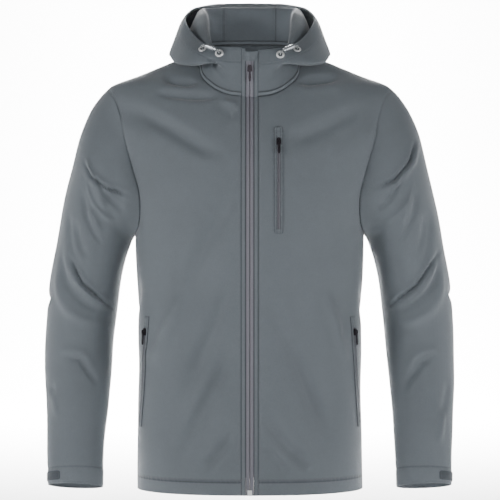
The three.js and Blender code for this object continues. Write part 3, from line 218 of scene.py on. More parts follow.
@dataclass(frozen=True)
class Fold:
    """One fold of the cloth, drawn as a line across it.

    For a fold on the front the points are pixels of the photograph; on the other sides they
    are millimetres across and up.
    """

    points: tuple[tuple[float, float], ...]
    rise: float
    wide: float
    profile: Profile = Profile.ROLL
    side: Side = Side.FRONT
    depth: float = -120.0

    def line(self) -> np.ndarray:
        """Give the fold's line in millimetres across and up."""
        if self.side is Side.FRONT:
            return np.array([photo_point(px, py, self.depth) for px, py in self.points])
        return np.array(self.points, float)

    def lift(self, across: np.ndarray, up: np.ndarray) -> np.ndarray:
        """Say how far the fold lifts the cloth at each place.

        Args:
            across: Millimetres to the right on the side that carries the fold.
            up: Height in millimetres.

        Returns:
            Millimetres outward.
        """
        line = self.line()
        spans = np.diff(line, axis=0)
        lengths = np.linalg.norm(spans, axis=1)
        total = lengths.sum()
        best = np.full(across.shape, 1e9)
        signed = np.zeros(across.shape)
        along = np.zeros(across.shape)
        gone = 0.0
        for (x0, z0), (dx, dz), long in zip(line[:-1], spans, lengths):
            t = np.clip(((across - x0) * dx + (up - z0) * dz) / (long * long), 0.0, 1.0)
            off_x, off_z = across - (x0 + dx * t), up - (z0 + dz * t)
            distance = np.hypot(off_x, off_z)
            nearer = distance < best
            best = np.where(nearer, distance, best)
            signed = np.where(nearer, np.sign(off_x * dz - off_z * dx) * distance, signed)
            along = np.where(nearer, (gone + t * long) / total, along)
            gone += long
        taper = smooth(along / 0.35) * smooth((1.0 - along) / 0.35)
        taper = np.maximum(taper, 0.0)
        if self.profile is Profile.ROLL:
            shape = np.exp(-((best / self.wide) ** 2))
        elif self.profile is Profile.CREASE:
            valley = 1.25 * np.exp(-best / (0.45 * self.wide))
            shape = valley - 0.45 * np.exp(-1.6 * (best / self.wide - 1.0) ** 2)
        else:
            shape = np.exp(-((best / self.wide) ** 2)) * np.tanh(signed / (0.35 * self.wide))
        return self.rise * taper * shape


@dataclass
class Folds:
    """The folds of one main piece of the garment."""

    folds: tuple[Fold, ...] = ()
    swell: float = 1.3
    strength: float = 3.0

    def lift(self, points: np.ndarray, normals: np.ndarray) -> np.ndarray:
        """Add up what all folds do to the cloth.

        Args:
            points: Points of the smooth form, in millimetres.
            normals: Its outward normals.

        Returns:
            Millimetres outward at each point.
        """
        x, y, z = points[..., 0], points[..., 1], points[..., 2]
        facing = {
            Side.FRONT: (x, smooth(-normals[..., 1] * 2.2)),
            Side.BACK: (x, smooth(normals[..., 1] * 2.2)),
            Side.RIGHT: (y, smooth(-normals[..., 0] * 1.8)),
            Side.LEFT: (y, smooth(normals[..., 0] * 1.8)),
        }
        total = self.swell * self.waves(x, y, z)
        for fold in self.folds:
            across, share = facing[fold.side]
            total = total + share * self.strength * fold.lift(across, z)
        return total

    @staticmethod
    def waves(x: np.ndarray, y: np.ndarray, z: np.ndarray) -> np.ndarray:
        """Give the slight unevenness of cloth that hangs, between -1 and 1."""
        a = np.sin(0.021 * x + 0.034 * z + 1.3) * np.cos(0.027 * y - 0.011 * z + 0.4)
        b = np.sin(0.047 * x - 0.031 * z + 2.1 + 0.02 * y) * 0.5
        c = np.sin(0.083 * y + 0.061 * z) * np.cos(0.071 * x + 0.9) * 0.3
        return (a + b + c) / 1.8


TORSO_FOLDS = Folds((
    Fold(((219.7, 97.6), (230, 103), (240.4, 107.9)), 1.4, 6),
    Fold(((118, 97), (142, 112), (168, 127), (199, 146), (232, 160)), -2.6, 12),
    Fold(((160, 76), (182, 79), (200, 80)), -2.4, 5), Fold(((150, 90), (188, 94), (222, 95)), -2.8, 6),
    Fold(((238, 188), (208, 236), (176, 292)), -2.3, 12), Fold(
        ((238, 268), (206, 340), (176, 408)), -2.5, 12,
    ),
    Fold(((183, 290), (165, 332), (146, 373)), 2.4, 13), Fold(
        ((239, 340), (205, 402), (170, 466)), -3.0, 11,
    ),
    Fold(
        ((239, 427), (220, 450), (199.6, 473)), -2.4, 7,
    ), Fold(((292, 80), (318, 77), (346, 73.5)), -2.6, 6),
    Fold(((324, 287), (338, 330), (349, 371)), 2.0, 9), Fold(
        ((262, 292), (300, 368), (334, 446)), -2.3, 12,
    ),
    Fold(((259, 440), (269, 453), (279, 463), (290, 476)), -1.6, 6),
    Fold(
        ((261, 416), (288, 447), (315.7, 473)), -2.0, 9,
    ), Fold(((376, 98), (330, 124), (276, 148)), -2.0, 13),
    Fold(((-120, -130), (-60, -175), (-10, -190)), -1.8, 13, side=Side.BACK),
    Fold(((120, -130), (60, -175), (10, -190)), -1.8, 13, side=Side.BACK),
    Fold(((-150, -420), (-90, -470), (-40, -500)), -1.6, 12, side=Side.BACK),
    Fold(((150, -440), (85, -490), (30, -525)), -1.6, 12, side=Side.BACK),
    Fold(((-60, -380), (-10, -430), (30, -520)), -1.8, 14, side=Side.RIGHT),
    Fold(((-50, -390), (0, -450), (40, -530)), -1.8, 14, side=Side.LEFT),
), strength=3.6)
HOOD_FOLDS = Folds((
    Fold(((208.3, 56), (212.6, 63.1), (219.3, 68.9)), -1.4, 4, depth=-90.0),
    Fold(((304.4, 26.8), (298.7, 33.5), (293, 39.7), (290, 45.4)), -1.4, 5, depth=-30.0),
), swell=0.5)
SLEEVE_FOLDS = {
    -1: Folds((
        Fold(((82, 158), (92, 177), (108, 189), (134, 196)), -1.9, 5.5, Profile.CREASE, depth=-70.0),
        Fold(((86, 154), (91.5, 173), (106, 189), (124, 198)), 1.6, 5, depth=-70.0),
        Fold(((91, 176), (99, 195), (106.6, 212.6)), 1.6, 7, depth=-70.0),
        Fold(((73, 215), (78.6, 243), (87, 260)), -1.6, 7, depth=-65.0),
        Fold(((88, 208), (95, 221), (101, 233.6)), 1.4, 6, depth=-68.0),
        Fold(((64, 249), (82, 283), (99.5, 299), (118, 314)), -2.0, 5.5, Profile.CREASE, depth=-62.0),
        Fold(((62, 258), (75, 279), (95, 304), (110, 318)), 1.6, 6, depth=-62.0),
        Fold(((56.4, 354), (79.6, 359), (92.9, 377.6), (99.5, 389)), -2.0, 6, depth=-62.0),
        Fold(((51.4, 389), (54, 405), (58, 422)), 1.4, 6, depth=-70.0),
        Fold(((-30, -410), (5, -425), (45, -420)), -1.8, 8, side=Side.RIGHT),
        Fold(((-230, -200), (-260, -260), (-285, -330)), -1.6, 9, side=Side.BACK),
    )),
    1: Folds((
        Fold(((418, 134), (409.8, 162), (394, 180), (368, 190)), -1.8, 5.5, Profile.CREASE, depth=-70.0),
        Fold(((421, 135), (413, 163), (399, 183), (377, 195)), 1.4, 5, depth=-70.0),
        Fold(((428, 208), (423.8, 236), (416.8, 260)), -1.6, 7, depth=-65.0),
        Fold(((411, 194), (406, 210), (400, 226.6)), 1.6, 7, depth=-70.0),
        Fold(((445, 245), (416.6, 285.6), (401, 298), (383, 313)), -2.0, 5.5, Profile.CREASE, depth=-62.0),
        Fold(((447, 252), (421, 291), (405, 304), (390, 318)), 1.6, 6, depth=-62.0),
        Fold(((441.9, 350), (422, 363), (408, 381), (401, 396.5)), -2.0, 6, depth=-62.0),
        Fold(((444.7, 406), (442, 427), (439, 448)), 1.4, 6, depth=-78.0),
        Fold(((-30, -400), (5, -418), (45, -415)), -1.8, 8, side=Side.LEFT),
        Fold(((230, -210), (260, -270), (285, -340)), -1.6, 9, side=Side.BACK),
    )),
}


@dataclass(frozen=True)
class Crease:
    """A broad crease of the solid's own form, straight or bowed, from one end to the other."""

    start: tuple[float, float]
    end: tuple[float, float]
    rise: float
    wide: float
    bow: float = 0.0

    def lift(self, a: np.ndarray, b: np.ndarray, scale: tuple[float, float] = (1.0, 1.0)) -> np.ndarray:
        """Say how far the crease lifts the cloth.

        Args:
            a: First coordinate of each place.
            b: Second coordinate.
            scale: Millimetres to a unit of each coordinate.

        Returns:
            Millimetres outward.
        """
        da, db = (self.end[0] - self.start[0]) * scale[0], (self.end[1] - self.start[1]) * scale[1]
        long = math.hypot(da, db)
        pa, pb = (a - self.start[0]) * scale[0], (b - self.start[1]) * scale[1]
        along = (pa * da + pb * db) / (long * long)
        across = (pa * db - pb * da) / long + self.bow * 4.0 * along * (1.0 - along) * scale[1]
        inside = smooth(along / 0.3) * smooth((1.0 - along) / 0.3)
        return self.rise * inside * np.exp(-((across / self.wide) ** 2))


BODY_RINGS = (
    (-740, 191, 126, 121, 2.35), (-650, 190, 128, 115, 2.35), (-540, 189, 130, 107, 2.3),
    (-440, 190, 133, 104, 2.3), (-350, 193, 137, 110, 2.3), (-311, 194, 139, 115, 2.3),
    (-250, 203, 138, 120, 2.3), (-190, 225, 131, 121, 2.2), (-140, 244, 116, 114, 2.2),
    (-100, 250, 98, 103, 2.1), (-80, 248, 87, 97, 2.05), (-63, 239, 76, 91, 2.0),
    (-42, 189, 60, 84, 2.0), (-21, 140, 47, 76, 2.0), (0, 92, 36, 69, 2.0), (20, 84, 30, 63, 2.0),
)
ARMHOLE_ROWS = (
    (-80, 231, 231), (-99, 222, 224), (-133, 213, 214), (-175, 203, 204), (-206, 194, 197),
    (-230, 187, 192), (-256, 183, 189), (-285, 184, 188), (-303, 189, 191),
)
NECKLINE_FRONT = ((PLACKET_OUTER, -84), (35, -81), (54, -73), (70, -61), (81, -46), (88, -27))
NECKLINE_BACK = ((90, 2), (115, 9), (145, 15))
FRONT_CREASES = (
    Crease((-232, -90), (-150, -150), -3.5, 15), Crease((-150, -45), (-95, -62), -3, 8),
    Crease((-165, -70), (-90, -78), 2.5, 9), Crease((-60, -96), (-18, -118), -2.5, 9),
    Crease((150, -45), (86, -62), -3, 8), Crease((80, -72), (165, -66), 2.5, 9),
    Crease((232, -96), (120, -170), -3, 18), Crease((-60, -350), (-140, -700), -3.5, 20),
    Crease((-100, -360), (-165, -640), 2.5, 18), Crease((-30, -480), (-95, -715), -3, 16),
    Crease((60, -350), (130, -690), -3.5, 20), Crease((105, -380), (165, -650), 2.5, 18),
    Crease((22, -590), (100, -705), -3, 12),
)
BACK_CREASES = (
    Crease((-150, -60), (-60, -150), -3, 18), Crease((150, -60), (60, -150), -3, 18),
    Crease((-185, -270), (-90, -420), -4, 18), Crease((185, -270), (90, -420), -4, 18),
    Crease((-70, -400), (-110, -700), -3.5, 22), Crease((70, -400), (110, -700), -3.5, 22),
    Crease((0, -330), (0, -700), 3, 30),
)


@dataclass
class Route:
    """A line over the body's surface, as angles and heights at even distances."""

    angle: np.ndarray
    z: np.ndarray

    def at(self, share: np.ndarray) -> tuple[np.ndarray, np.ndarray]:
        """Give angle and height at shares from 0 to 1 along the route."""
        places = np.linspace(0.0, 1.0, len(self.angle))
        return np.interp(share, places, self.angle), np.interp(share, places, self.z)

    def back(self) -> "Route":
        """Give the same route from its other end."""
        return Route(self.angle[::-1], self.z[::-1])


class BodyForm:
    """The surface of the jacket's body, and the seams that lie on it, in millimetres."""

    def __init__(self, folds: Folds) -> None:
        """Lay out the tracks and the seam routes.

        Args:
            folds: The finer folds of the body's cloth.
        """
        z, half, front, back, square = (list(column) for column in zip(*BODY_RINGS))
        self.half, self.front, self.back = Track(z, half), Track(z, front), Track(z, back)
        self.square = Track(z, square)
        self.folds = folds
        self.armhole = {Side.FRONT: self.armhole_route(1), Side.BACK: self.armhole_route(2)}
        front_route = self.even(*self.neck_front_stops(), 60)
        back_route = self.even(*self.neck_back_stops(), 60)
        angle = np.concatenate([front_route.angle, back_route.angle[1:]])
        height = np.concatenate([front_route.z, back_route.z[1:]])
        seam = self.cloth(angle, height, 0.0, fine=False)
        x, y = seam[:, 0], NECK_AXIS_Y - seam[:, 1]
        rounds = np.degrees(np.arctan2(x, y))
        self.neck_far = Track(rounds, np.hypot(x, y))
        self.neck_z = Track(rounds, height)
        self.neck_body = Track(rounds, angle)
        self.neck_start, self.neck_point = rounds[0], rounds[60]

    def form(self, angle: np.ndarray, z: np.ndarray) -> np.ndarray:
        """Give the surface without creases at an angle from the front and a height."""
        n = self.square(z)
        s, c = np.sin(angle), np.cos(angle)
        k = (np.abs(s) ** n + np.abs(c) ** n) ** (-1.0 / n)
        depth = np.where(c > 0, self.front(z), self.back(z))
        return np.stack([self.half(z) * s * k, -depth * c * k, np.asarray(z, float) + 0 * s], axis=-1)

    def angle_at(self, x: np.ndarray, z: np.ndarray, side: Side = Side.FRONT) -> np.ndarray:
        """Give the angle at which the ring at height z has the given X, on front or back."""
        q = np.minimum(np.abs(x) / self.half(z), 1.0)
        n = self.square(z)
        angle = np.arctan2(q, np.maximum(1.0 - q**n, 0.0) ** (1.0 / n))
        sign = np.where(np.asarray(x) < 0, -1.0, 1.0)
        return sign * (angle if side is Side.FRONT else np.pi - angle)

    def normal(self, angle: np.ndarray, z: np.ndarray) -> np.ndarray:
        """Give the outward normal of the plain surface."""
        return normals_of(self.form, angle, z, 0.004, 1.5)

    def cloth(
        self,
        angle: np.ndarray,
        z: np.ndarray,
        lift: float,
        fine: bool = True,
        calm: np.ndarray | float = 1.0,
    ) -> np.ndarray:
        """Give the cloth's face with its creases.

        Args:
            angle: Angles round the body from the front.
            z: Heights.
            lift: Millimetres outward.
            fine: Whether the finer folds are added to the solid's creases.
            calm: How much of the finer folds stays at each place.

        Returns:
            Points in millimetres.
        """
        angle, z = np.broadcast_arrays(np.asarray(angle, float), np.asarray(z, float))
        point = self.form(angle, z)
        out = self.normal(angle, z)
        facing = np.cos(angle)
        front = sum(crease.lift(point[..., 0], point[..., 2]) for crease in FRONT_CREASES)
        back = sum(crease.lift(point[..., 0], point[..., 2]) for crease in BACK_CREASES)
        rise = np.where(facing > 0, front, back) * smooth(np.abs(facing) * 4.0)
        if fine:
            rise = rise + self.folds.lift(point, out) * calm
        return point + out * (rise + lift)[..., None]

    def even(self, angles: Sequence[float], heights: Sequence[float], steps: int) -> Route:
        """Space a route's places evenly over the cloth.

        Args:
            angles: Angles of the route's stops.
            heights: Their heights.
            steps: Count of even steps wanted.

        Returns:
            The route.
        """
        at = np.linspace(0.0, len(angles) - 1.0, 40 * (len(angles) - 1) + 1)
        angle, z = through_numbers(list(angles), at), through_numbers(list(heights), at)
        point = self.form(angle, z)
        gone = np.concatenate([[0.0], np.cumsum(np.linalg.norm(np.diff(point, axis=0), axis=1))])
        goal = np.linspace(0.0, gone[-1], steps + 1)
        return Route(np.interp(goal, gone, angle), np.interp(goal, gone, z))

    def armhole_route(self, column: int) -> Route:
        """Give the armhole seam from the shoulder's tip to the armpit; column picks its half."""
        side = Side.FRONT if column == 1 else Side.BACK
        seam = [float(self.angle_at(row[column], row[0], side)) for row in ARMHOLE_ROWS]
        angles = [SHOULDER_TIP_ANGLE, *seam, np.pi / 2]
        heights = [SHOULDER_TIP_Z, *(row[0] for row in ARMHOLE_ROWS), ARMPIT_Z]
        return self.even(angles, heights, 96)

    def neck_front_stops(self) -> tuple[list[float], list[float]]:
        """Give the stops of the front neckline, from the zip to the shoulder seam."""
        angles = [float(self.angle_at(x, z)) for x, z in NECKLINE_FRONT]
        return [*angles, NECK_POINT_ANGLE], [*(z for _, z in NECKLINE_FRONT), NECK_POINT_Z]

    def neck_back_stops(self) -> tuple[list[float], list[float]]:
        """Give the stops of the back neckline, from the shoulder seam to the nape."""
        angles = [NECK_POINT_ANGLE, *(math.radians(a) for a, _ in NECKLINE_BACK), np.pi]
        return angles, [NECK_POINT_Z, *(z for _, z in NECKLINE_BACK), NAPE_Z]

    def neck_stops(self, rounds: np.ndarray) -> Route:
        """Give body angles and heights of the neck seam at angles round the neck."""
        return Route(self.neck_body(rounds), self.neck_z(rounds))

    def centre_rounds(self, count: int) -> np.ndarray:
        """Give the angles round the neck under the hood's middle panel, outside in."""
        sideways = np.linspace(HOOD_CENTRE_HALF, 0.0, count)
        rounds = np.full(count, 180.0)
        for _ in range(8):
            rounds = 180.0 - np.degrees(np.arcsin(sideways / self.neck_far(rounds)))
        return rounds


@dataclass(frozen=True)
class Patch:
    """A panel of the body between four edges, filled in from its seams."""

    low: Route
    high: Route
    start: Route
    end: Route
    side: Side

    def places(self, form: BodyForm, across: np.ndarray, up: np.ndarray) -> tuple[np.ndarray, np.ndarray]:
        """Fill the patch.

        Args:
            form: The body.
            across: Shares from the start edge to the end edge.
            up: Shares from the low edge to the high edge.

        Returns:
            Grids of angles and heights.
        """
        u, v = np.meshgrid(across, up)
        edges = {}
        for name, route, share in (
            ("low", self.low, u), ("high", self.high, u), ("start", self.start, v), ("end", self.end, v),
        ):
            angle, z = route.at(share)
            edges[name] = (form.form(angle, z)[..., 0], z)
        corner = {}
        for name, route, share in (
            ("a", self.low, 0.0), ("b", self.low, 1.0), ("c", self.high, 0.0), ("d", self.high, 1.0),
        ):
            angle, z = route.at(np.array(share))
            corner[name] = (float(form.form(angle, z)[..., 0]), float(z))
        x, z = (
            mix(edges["low"][k], edges["high"][k], v)
            + mix(edges["start"][k], edges["end"][k], u)
            - mix(mix(corner["a"][k], corner["b"][k], u), mix(corner["c"][k], corner["d"][k], u), v)
            for k in (0, 1)
        )
        angle = form.angle_at(x, z, self.side)
        for route, cells, share in (
            (self.low, np.s_[0, :], across), (self.high, np.s_[-1, :], across),
            (self.start, np.s_[:, 0], up), (self.end, np.s_[:, -1], up),
        ):
            angle[cells], z[cells] = route.at(share)
        return angle, z


def joined_routes(*routes: Route) -> Route:
    """Put routes end to end, each keeping its own steps."""
    angle = np.concatenate([routes[0].angle, *(route.angle[1:] for route in routes[1:])])
    z = np.concatenate([routes[0].z, *(route.z[1:] for route in routes[1:])])
    return Route(angle, z)


def edged(steps: int, close: Sequence[float] = (0.0015, 0.005)) -> np.ndarray:
    """Give shares from 0 to 1 with a few extra rows close to both ends.

    Args:
        steps: Even steps between them.
        close: Shares of the extra rows.

    Returns:
        Rising shares.
    """
    even = np.linspace(0.0, 1.0, steps + 1)
    return np.unique(np.concatenate([even, close, 1.0 - np.asarray(close)]))


@dataclass
class Cloth:
    """A wall of cloth between two grids of points, and what its seams need to know."""

    outer: Grid
    inner: Grid
    closed: bool = False
    keep: np.ndarray | None = None

    def pull_in(self, *edges: str, distance: float = PULL_IN) -> "Cloth":
        """Move edges towards the cloth, to leave room for a seam."""
        for grid in (self.outer, self.inner):
            for edge in edges:
                first, second = {
                    "low": (np.s_[0, :], np.s_[1, :]),
                    "high": (np.s_[-1, :], np.s_[-2, :]),
                    "left": (np.s_[:, 0], np.s_[:, 1]),
                    "right": (np.s_[:, -1], np.s_[:, -2]),
                }[edge]
                way = grid[second] - grid[first]
                grid[first] = grid[first] + way * (
                    distance / np.maximum(np.linalg.norm(way, axis=-1, keepdims=True), 1e-6)
                )
        return self

    def measures(self) -> dict[str, np.ndarray]:
        """Give distances over the cloth, in millimetres, on the grid with its wrap column."""
        grid = np.concatenate([self.outer, self.outer[:, :1]], axis=1) if self.closed else self.outer
        across = np.linalg.norm(np.diff(grid, axis=1), axis=2)
        up = np.linalg.norm(np.diff(grid, axis=0), axis=2)
        left = np.concatenate([np.zeros((grid.shape[0], 1)), np.cumsum(across, axis=1)], axis=1)
        low = np.concatenate([np.zeros((1, grid.shape[1])), np.cumsum(up, axis=0)], axis=0)
        return {"left": left, "right": left[:, -1:] - left, "low": low, "high": low[-1:, :] - low}

    def soften_edges(self, *edges: str, depth: float = 0.5, reach: float = 1.6) -> "Cloth":
        """Turn the outer face down along sewn edges, as a turned and pressed edge lies."""
        measures = self.measures()
        columns = self.outer.shape[1]
        drop = np.zeros(self.outer.shape[:2])
        for edge in edges:
            near = measures[edge][:, :columns]
            drop = np.maximum(drop, depth * np.exp(-((near / reach) ** 2)))
        way = self.inner - self.outer
        way = way / np.maximum(np.linalg.norm(way, axis=-1, keepdims=True), 1e-6)
        self.outer = self.outer + way * drop[..., None]
        return self

    def flat(self) -> tuple[float, float, float]:
        """Give the width, length and area of the cut piece, in metres."""
        measures = self.measures()
        grid = np.concatenate([self.outer, self.outer[:, :1]], axis=1) if self.closed else self.outer
        a = grid[:-1, 1:] - grid[:-1, :-1]
        b = grid[1:, :-1] - grid[:-1, :-1]
        c = grid[1:, 1:] - grid[:-1, 1:]
        d = grid[1:, 1:] - grid[1:, :-1]
        cells = 0.5 * (np.linalg.norm(np.cross(a, b), axis=2) + np.linalg.norm(np.cross(c, d), axis=2))
        if self.keep is not None:
            cells = cells * self.keep
        width, length = measures["left"].max(), measures["low"].max()
        width, length = max(width, SMALLEST_CUT), max(length, SMALLEST_CUT)
        return width * MM, length * MM, min(cells.sum(), width * length) * MM * MM

    def mesh(self, name: str) -> bpy.types.Object:
        """Make the wall's mesh with its measures as UV maps.

        Args:
            name: Name of the piece.

        Returns:
            The object.
        """
        rows, columns = self.outer.shape[:2]
        spans = columns if self.closed else columns - 1
        i, j = np.meshgrid(np.arange(rows - 1), np.arange(spans), indexing="ij")
        keep = np.ones(i.shape, bool) if self.keep is None else self.keep.astype(bool)
        corners = []

        def add(
            face_a: int,
            ia: np.ndarray,
            ja: np.ndarray,
            face_b: int,
            ib: np.ndarray,
            jb: np.ndarray,
            kind: str,
        ) -> None:
            """Collect quads from two lines of places."""
            if kind == "skin":
                order = [(ia, ja), (ia, jb), (ib, jb), (ib, ja)]
                faces = [face_a] * 4
            else:
                order = [(ib, jb), (ia, ja), (ia, ja), (ib, jb)]
                faces = [0, 0, 1, 1]
            quad = [np.stack([np.full(a.shape, f), a, b], axis=-1) for f, (a, b) in zip(faces, order)]
            corners.append(np.stack(quad, axis=1))

        ki, kj = i[keep], j[keep]
        add(0, ki, kj, 0, ki + 1, kj + 1, "skin")
        flipped = len(corners)
        add(1, ki, kj, 1, ki + 1, kj + 1, "skin")
        corners[flipped] = corners[flipped][:, ::-1]
        kept = np.zeros((rows + 1, spans + 2), bool)
        kept[1:rows, 1 : spans + 1] = keep
        if self.closed:
            kept[:, 0], kept[:, -1] = kept[:, spans], kept[:, 1]
        for di, dj, a, b in (
            (-1, 0, (0, 0), (0, 1)),
            (0, 1, (0, 1), (1, 1)),
            (1, 0, (1, 1), (1, 0)),
            (0, -1, (1, 0), (0, 0)),
        ):
            open_side = keep & ~kept[1 + di : rows + di, 1 + dj : spans + 1 + dj]
            oi, oj = i[open_side], j[open_side]
            add(0, oi + a[0], oj + a[1], 1, oi + b[0], oj + b[1], "rim")
        quads = np.concatenate(corners)
        ids = quads[..., 0] * rows * columns + quads[..., 1] * columns + quads[..., 2] % columns
        points = np.concatenate([self.outer.reshape(-1, 3), self.inner.reshape(-1, 3)]) * MM
        used = np.unique(ids)
        renumber = np.zeros(len(points), int)
        renumber[used] = np.arange(len(used))
        mesh = bpy.data.meshes.new(name)
        mesh.from_pydata(points[used].tolist(), [], renumber[ids].tolist())
        measures = self.measures()
        gi, gj = quads[..., 1].ravel(), quads[..., 2].ravel()
        for layer, (u, v) in {
            "cloth": ("left", "low"), "sides": ("left", "right"), "ends": ("low", "high"),
        }.items():
            uv = mesh.uv_layers.new(name=layer)
            uv.data.foreach_set(
                "uv", (np.stack([measures[u][gi, gj], measures[v][gi, gj]], axis=-1) * MM).ravel(),
            )
        mesh.validate()
        mesh.update()
        thing = bpy.data.objects.new(name, mesh)
        bpy.context.scene.collection.objects.link(thing)
        tidy_normals(thing)
        return thing


def only(thing: bpy.types.Object) -> bpy.types.Object:
    """Select one object and make it active."""
    bpy.ops.object.select_all(action="DESELECT")
    thing.select_set(True)
    bpy.context.view_layer.objects.active = thing
    return thing


def tidy_normals(thing: bpy.types.Object, degrees: float = 42.0) -> None:
    """Point a mesh's faces outwards and shade it smooth up to an angle."""
    only(thing)
    bpy.ops.object.mode_set(mode="EDIT")
    bpy.ops.mesh.select_all(action="SELECT")
    bpy.ops.mesh.normals_make_consistent(inside=False)
    bpy.ops.object.mode_set(mode="OBJECT")
    bpy.ops.object.shade_smooth_by_angle(angle=math.radians(degrees))
    thing.select_set(False)


SLEEVE_RINGS = {
    "outer_x": (253, 271.5, 288.5, 303, 316, 327.5, 340.5, 346, 347, 344, 340.5, 337.5, 336.5),
    "outer_z": (-77, -104, -145, -202, -260, -321, -389, -461, -532, -601, -663, -704, -730),
    "inner_x": (195.5, 198, 201, 205, 211, 218, 224, 229, 234, 239, 243, 244.5, 245),
    "inner_z": (-314, -318, -324, -335, -354, -386, -430, -474, -536, -601, -660, -704, -733),
    "front": (-71, -74, -75, -73, -70, -66, -60, -56, -58, -68, -79, -86, -91),
    "back": (68, 74, 78, 79, 79, 76, 70, 62, 47, 24, -4, -22, -29),
    "lean": (0, 0, 0, 0, 0, 0, 2, 5, 8, 10, 9.5, 8.5, 8),
}
SLEEVE_CREASES = (
    Crease((52, 3.1), (118, 2.3), -4, 7, 0.5), Crease((58, 3.6), (120, 3.4), 3, 8, 0.5),
    Crease((62, 3.9), (112, 5.2), -3.5, 8, 0.2), Crease((44, 4.9), (92, 6.6), -3.5, 8, 0.2),
    Crease((36, 6.0), (150, 7.4), -5, 8, 0.5), Crease((34, 6.5), (140, 7.9), 4, 10, 0.5),
    Crease((48, 8.8), (128, 9.3), 3, 10, -0.3), Crease((38, 9.4), (60, 10.5), -2.5, 9, 0.0),
    Crease((300, 2.8), (250, 4.4), -3.5, 10, 0.2), Crease((310, 5.2), (230, 6.8), -4, 12, 0.3),
    Crease((320, 7.2), (240, 8.2), 3.5, 12, 0.2), Crease((300, 9.2), (250, 10.2), -3, 10, 0.1),
)
DEGREE_MM = 1.1
RING_MM = 58.0


class SleeveForm:
    """A set-in sleeve's surface; angle 0 is its outer line and a quarter turn its front."""

    def __init__(self, body: BodyForm, folds: Folds, sign: int) -> None:
        """Hang the sleeve on the body's armhole.

        Args:
            body: The body, whose armhole seam the sleeve starts from.
            folds: The finer folds of this sleeve.
            sign: 1 for the wearer's left, -1 for the right.
        """
        self.body, self.folds, self.sign = body, folds, sign
        self.midway = tuple((f + b) / 2 for f, b in zip(SLEEVE_RINGS["front"], SLEEVE_RINGS["back"]))
        self.anchors = self.armhole(np.array([0.0, 0.25, 0.5, 0.75]))

    def armhole(self, turn: np.ndarray) -> np.ndarray:
        """Give points of the armhole seam; turn is 0 at the shoulder and a half at the armpit."""
        whole = np.mod(turn, 1.0)
        front = whole <= 0.5
        share = np.where(front, whole, 1.0 - whole) * 2.0
        angle_f, z_f = self.body.armhole[Side.FRONT].at(share)
        angle_b, z_b = self.body.armhole[Side.BACK].at(share)
        return self.body.cloth(
            np.where(front, angle_f, angle_b), np.where(front, z_f, z_b), 0.0, fine=False,
        )

    def guides(self, ring: np.ndarray) -> list[np.ndarray]:
        """Give the outer, front, inner and back points of rings."""
        outer0, front0, inner0, back0 = self.anchors
        track = lambda key, start: through_numbers([start, *SLEEVE_RINGS[key]], ring)
        outer = np.stack(
            [
                track("outer_x", outer0[0]),
                through_numbers([outer0[1], *self.midway], ring),
                track("outer_z", outer0[2]),
            ],
            -1,
        )
        inner = np.stack(
            [
                track("inner_x", inner0[0]),
                through_numbers([inner0[1], *self.midway], ring),
                track("inner_z", inner0[2]),
            ],
            -1,
        )
        half = (outer + inner) / 2
        lean = track("lean", 0.0)
        fade = 1.0 - smooth(ring / CAP_RINGS)
        front = np.stack(
            [
                half[..., 0] + (front0[0] - half[..., 0]) * fade,
                track("front", front0[1]),
                half[..., 2] + lean,
            ],
            -1,
        )
        back = np.stack(
            [half[..., 0] + (back0[0] - half[..., 0]) * fade, track("back", back0[1]), half[..., 2] - lean],
            -1,
        )
        return [outer, front, inner, back]

    def round(self, ring: np.ndarray, angle: np.ndarray) -> np.ndarray:
        """Give points of the rounded rings."""
        outer, front, inner, back = self.guides(ring)
        c, s = np.cos(angle)[..., None], np.sin(angle)[..., None]
        return (outer + inner) * (1 - s * s) / 2 + (
            outer - inner
        ) * c / 2 + (front - back) * s / 2 + (front + back) * s * s / 2

    def form(self, angle: np.ndarray, ring: np.ndarray) -> np.ndarray:
        """Give the plain surface of the left sleeve."""
        left = (1.0 - smooth(ring / CAP_RINGS))[..., None]
        seam = self.armhole(angle / (2 * np.pi)) - self.round(np.zeros_like(ring), angle)
        return self.round(ring, angle) + seam * left

    def cloth(self, angle: np.ndarray, ring: np.ndarray, lift: float, fine: bool = True) -> np.ndarray:
        """Give the cloth's face on this sleeve's own side.

        Args:
            angle: Angles round the arm.
            ring: Ring numbers down it.
            lift: Millimetres outward.
            fine: Whether the finer folds are added.

        Returns:
            Points in millimetres.
        """
        angle, ring = np.broadcast_arrays(np.asarray(angle, float), np.asarray(ring, float))
        point = self.form(angle, ring)
        out = normals_of(self.form, angle, np.maximum(ring, 0.03), 0.01, 0.02)
        degrees = np.mod(np.degrees(angle), 360.0)
        rise = sum(
            crease.lift(degrees, ring, (DEGREE_MM, RING_MM)) for crease in SLEEVE_CREASES
        ) * smooth(ring / 1.5)
        sided, facing = point * (self.sign, 1, 1), out * (self.sign, 1, 1)
        if fine:
            seams = smooth(ring / 0.6) * smooth((CUFF_RING + 0.15 - ring) / 0.5)
            rise = rise + self.folds.lift(sided, facing) * seams
        return sided + facing * (rise + lift)[..., None]


